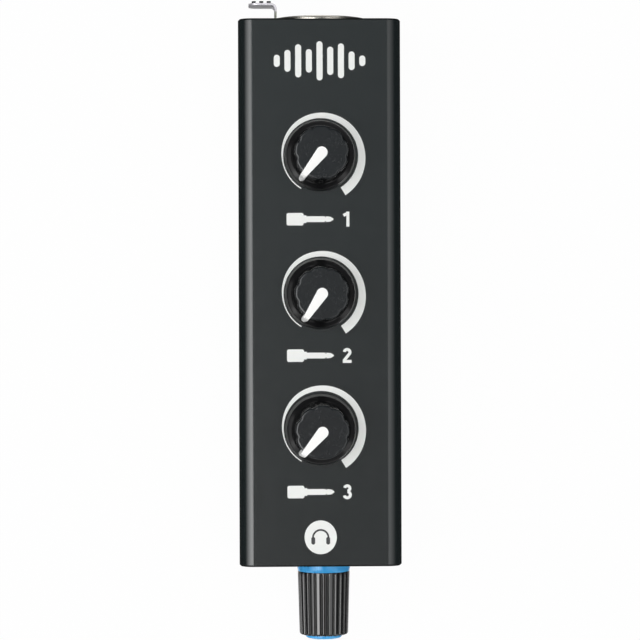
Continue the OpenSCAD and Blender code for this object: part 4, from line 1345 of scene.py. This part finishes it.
@dataclass(frozen=True)
class SoftBox:
    """A soft box that faces the object.

    Attributes:
        name: Name of the lamp.
        place: Its middle, in metres.
        size: Its width on the slope and its level length, in metres.
        glow: Brightness of its face, where 1 is white.
        fade: Share of its width over which it fades toward its lower edge. A box that fades
            is seen in reflections only, and one that doesn't lights matt surfaces only.
        tilt: Share by which a box that fades is brighter at one end of its length.
    """

    name: str
    place: Vec3
    size: Vec2
    glow: float
    fade: float = 0.0
    tilt: float = 0.0

    def _shade(self, data: bpy.types.AreaLight) -> None:
        """Fades the lamp's face across its width and along its length.

        Args:
            data: The lamp.
        """
        data.use_nodes = True
        graph = Graph(data.node_tree)
        spot = graph.node("ShaderNodeNewGeometry", out="Parametric")
        across, along = (graph.node("ShaderNodeSeparateXYZ", None, {0: spot}, axis) for axis in "XY")
        level = across.ease(0.0, self.fade) * (along * (2.0 * self.tilt) + (1.0 - self.tilt))
        shader = graph.node("ShaderNodeEmission", None, {"Strength": level})
        graph.finish(shader, "ShaderNodeOutputLight")

    def hang(self) -> None:
        """Adds the lamp to the scene."""
        data = bpy.data.lights.new(self.name, "AREA")
        data.shape = "RECTANGLE"
        data.size, data.size_y = self.size
        data.energy = self.glow * math.pi * self.size[0] * self.size[1]
        if self.fade > 0.0:
            self._shade(data)
        made = bpy.data.objects.new(self.name, data)
        back = Vector(self.place) - Vector((0.0, 0.0, PANEL_Z * MM))
        turn = back.to_track_quat("Z", "X").to_matrix().to_4x4()
        made.matrix_world = Matrix.Translation(self.place) @ turn
        made.visible_camera = False
        made.visible_diffuse = self.fade == 0.0
        made.visible_glossy = self.fade > 0.0
        bpy.context.scene.collection.objects.link(made)


SOFT_BOXES = (
    SoftBox("overhead", place=(0.0, 0.0, 0.8), size=(0.4, 0.4), glow=5.15),
    SoftBox("key_left", place=(-0.364, 0.0, 0.642), size=(0.54, 0.46), glow=1.9),
    SoftBox("fill_right", place=(0.364, 0.0, 0.642), size=(0.4, 0.46), glow=0.5),
    SoftBox(
        "sheen_left", place=(-0.468, -0.07, 0.556), size=(0.84, 0.74), glow=6.9, fade=1.0, tilt=-0.4
    ),
    SoftBox(
        "sheen_right", place=(0.468, -0.07, 0.556), size=(0.84, 0.74), glow=2.0, fade=1.0, tilt=0.3
    ),
    SoftBox("low_left", place=(-0.42, -0.33, 0.29), size=(0.2, 0.2), glow=0.8, fade=0.01),
    SoftBox("low_right", place=(0.42, -0.33, 0.29), size=(0.2, 0.2), glow=0.9, fade=0.01),
)


@dataclass
class Studio:
    """Camera, floor, dark cards, world and lamps."""

    distance: float = 0.62
    pixels_per_mm: float = 4.035
    image: float = 640.0
    sensor_mm: float = 36.0
    lean: float = 1.8  # degrees toward the panel's left
    roll: float = 0.19  # degrees
    centre_row: float = 292.4  # where the panel's middle lies in the picture
    centre_column: float = 320.3
    floor_reach: float = 3000.0
    floor_z: float = -0.05
    floor_colour: Colour = (0.93, 0.93, 0.93, 1.0)
    floor_glow: float = 0.97  # share of white that the camera sees
    card_glow: float = 0.05
    card_y: Vec2 = (-110.0, 200.0)
    card_foot_x: Vec2 = (20.8, 45.0)  # the part of a side card on the floor
    card_foot_z: Vec2 = (0.5, 1.0)
    card_start: Vec2 = (68.0, 14.0)  # distance and height at which it starts to lean out
    card_rise: Vec2 = (14.0, 54.0)  # how far out and up it goes from there
    end_card_x: Vec2 = (-55.0, 55.0)
    end_card_y: Vec2 = (72.0, 108.0)
    end_card_z: float = 0.5
    backdrop_edge: Vec2 = (0.26, 0.42)  # sines of the heights over which it ends
    dome_edge: Vec2 = (0.3, 0.42)
    dome_glow: float = 0.08
    overhead_edge: Vec2 = (0.93, 0.985)
    overhead_slope: Vec2 = (4.0, 2.0)  # how fast the overhead card darkens along X and brightens along Y
    overhead_glow: float = 0.43
    tint_edge: Vec2 = (-0.15, 0.08)
    tint_low: Colour = (1.1, 0.92, 0.86, 1.0)
    tint_high: Colour = (0.97, 1.02, 1.04, 1.0)

    def camera(self) -> None:
        """Looks straight down on the panel, a little from its left."""
        data = bpy.data.cameras.new("camera")
        width = self.image / self.pixels_per_mm * MM
        data.sensor_width = self.sensor_mm
        data.lens = self.sensor_mm * self.distance / width
        data.shift_x = (self.image / 2.0 - self.centre_column) / self.image
        data.shift_y = (self.centre_row - self.image / 2.0) / self.image
        lean, roll = math.radians(self.lean), math.radians(self.roll)
        target = Vector((0.0, 0.0, PANEL_Z * MM))
        away = Vector((-math.sin(lean), 0.0, math.cos(lean)))
        up = Vector((math.sin(roll), math.cos(roll), 0.0))
        right = up.cross(away).normalized()
        top = away.cross(right)
        turn = Matrix((right, top, away)).transposed().to_4x4()
        made = bpy.data.objects.new("camera", data)
        made.matrix_world = Matrix.Translation(target + away * self.distance) @ turn
        bpy.context.scene.collection.objects.link(made)
        bpy.context.scene.camera = made

    def shown(self, graph: Graph) -> Signal:
        """One for rays from the camera and for reflections and refractions of the background.

        Args:
            graph: The background's graph.

        Returns:
            One for those rays and zero for the others.
        """
        kinds = ("Camera", "Glossy", "Transmission")
        rays = [graph.node("ShaderNodeLightPath", out=f"Is {kind} Ray") for kind in kinds]
        return graph.node("ShaderNodeClamp", None, {"Value": rays[0] + rays[1] + rays[2]})

    def floor(self) -> None:
        """Lays a pale floor that still takes the object's shadow."""
        reach = np.linspace(-self.floor_reach, self.floor_reach, 5)
        x, y = np.meshgrid(reach, reach, indexing="ij")
        material = bpy.data.materials.new("pale_floor")
        material.use_nodes = True
        graph = Graph(material.node_tree)
        matt = graph.node("ShaderNodeBsdfDiffuse", None, {"Color": self.floor_colour})
        glow = graph.node("ShaderNodeEmission", None, {"Color": WHITE, "Strength": 1.0})
        factor = self.shown(graph) * self.floor_glow
        graph.finish(graph.node("ShaderNodeMixShader", None, {0: factor, 1: matt, 2: glow}))
        sheet(x, y, np.full(x.shape, self.floor_z)).piece("floor", material)

    def cards(self) -> None:
        """Stands a dark card at each side and lays one beyond the socket, seen only in reflections.

        Each side card starts on the floor beside the case. Further out it is a strip that leans
        out as it rises: its distance from the middle grows with the square root of its height.
        """
        material = bpy.data.materials.new("dark_card")
        material.use_nodes = True
        graph = Graph(material.node_tree)
        sockets = {"Color": WHITE, "Strength": self.card_glow}
        graph.finish(graph.node("ShaderNodeEmission", None, sockets))
        up = np.linspace(0.0, 1.0, 9)
        out = np.r_[self.card_foot_x, self.card_start[0] + self.card_rise[0] * np.sqrt(up)]
        height = np.r_[self.card_foot_z, self.card_start[1] + self.card_rise[1] * up]
        along, place = np.meshgrid(np.linspace(*self.card_y, 7), np.arange(len(out)), indexing="ij")
        end_x, end_y = np.linspace(*self.end_card_x, 5), np.linspace(*self.end_card_y, 5)
        across, ahead = np.meshgrid(end_x, end_y, indexing="ij")
        sheets = {
            "card_left": sheet(-out[place], along, height[place]),
            "card_right": sheet(out[place], along, height[place]),
            "card_end": sheet(across, ahead, np.full(across.shape, self.end_card_z)),
        }
        for name, form in sheets.items():
            card = form.piece(name, material)
            card.visible_camera = False
            card.visible_diffuse = False
            card.visible_transmission = False
            card.visible_shadow = False

    def world(self) -> None:
        """Surrounds the object with a pale backdrop, dark above it, and a grey card overhead."""
        world = bpy.data.worlds.new("studio")
        world.use_nodes = True
        bpy.context.scene.world = world
        graph = Graph(world.node_tree)
        way = graph.node("ShaderNodeTexCoord", out="Generated")
        split = [graph.node("ShaderNodeSeparateXYZ", None, {0: way}, axis) for axis in "XYZ"]
        across, along, height = split
        overhead = height.ease(*self.overhead_edge)
        card = overhead * (1.0 - across * self.overhead_slope[0] + along * self.overhead_slope[1])
        backdrop = 1.0 - height.ease(*self.backdrop_edge)
        strength = backdrop + height.ease(*self.dome_edge) * self.dome_glow + card * self.overhead_glow
        tint = graph.mix(along.ease(*self.tint_edge), self.tint_low, self.tint_high)
        colour = graph.mix(overhead, WHITE, tint)
        shader = graph.node("ShaderNodeBackground", None, {"Color": colour, "Strength": strength})
        graph.finish(shader, "ShaderNodeOutputWorld")

    def build(self) -> None:
        """Sets up the whole studio."""
        self.camera()
        self.floor()
        self.cards()
        self.world()
        for box in SOFT_BOXES:
            box.hang()
        bpy.context.scene.view_settings.view_transform = "Standard"


def clear_default_objects() -> None:
    """Removes what a new Blender file holds and the frame didn't bring."""
    kept = set(frame["nodes"].values()) | set(frame["bodies"].values())
    for thing in [o for o in bpy.data.objects if o not in kept]:
        bpy.data.objects.remove(thing)


def main() -> None:
    """Builds the mixer's looks in order."""
    logging.basicConfig(level=logging.INFO, format="%(message)s")
    clear_default_objects()
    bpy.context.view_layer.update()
    materials = {slot: finish.material() for slot, finish in FINISHES.items()}
    softened = {
        "latch": Edge.SOFT,
        "pointer_1": Edge.FINE,
        "pointer_2": Edge.FINE,
        "pointer_3": Edge.FINE,
        "volume_collar": Edge.SOFT,
    }
    PackedSolids(softened).dress(materials)
    for number in (1, 2, 3):
        LOG.info("built %s", InputDial(number).build(materials).name)
    LOG.info("built %s", VolumeKnob().build(materials).name)
    LOG.info("built %s", LatchSpring().build(materials).name)
    for piece in PanelPrint().build():
        LOG.info("printed %s", piece.name)
    Studio().build()
    bpy.context.view_layer.update()


if __name__ == "__main__":
    main()
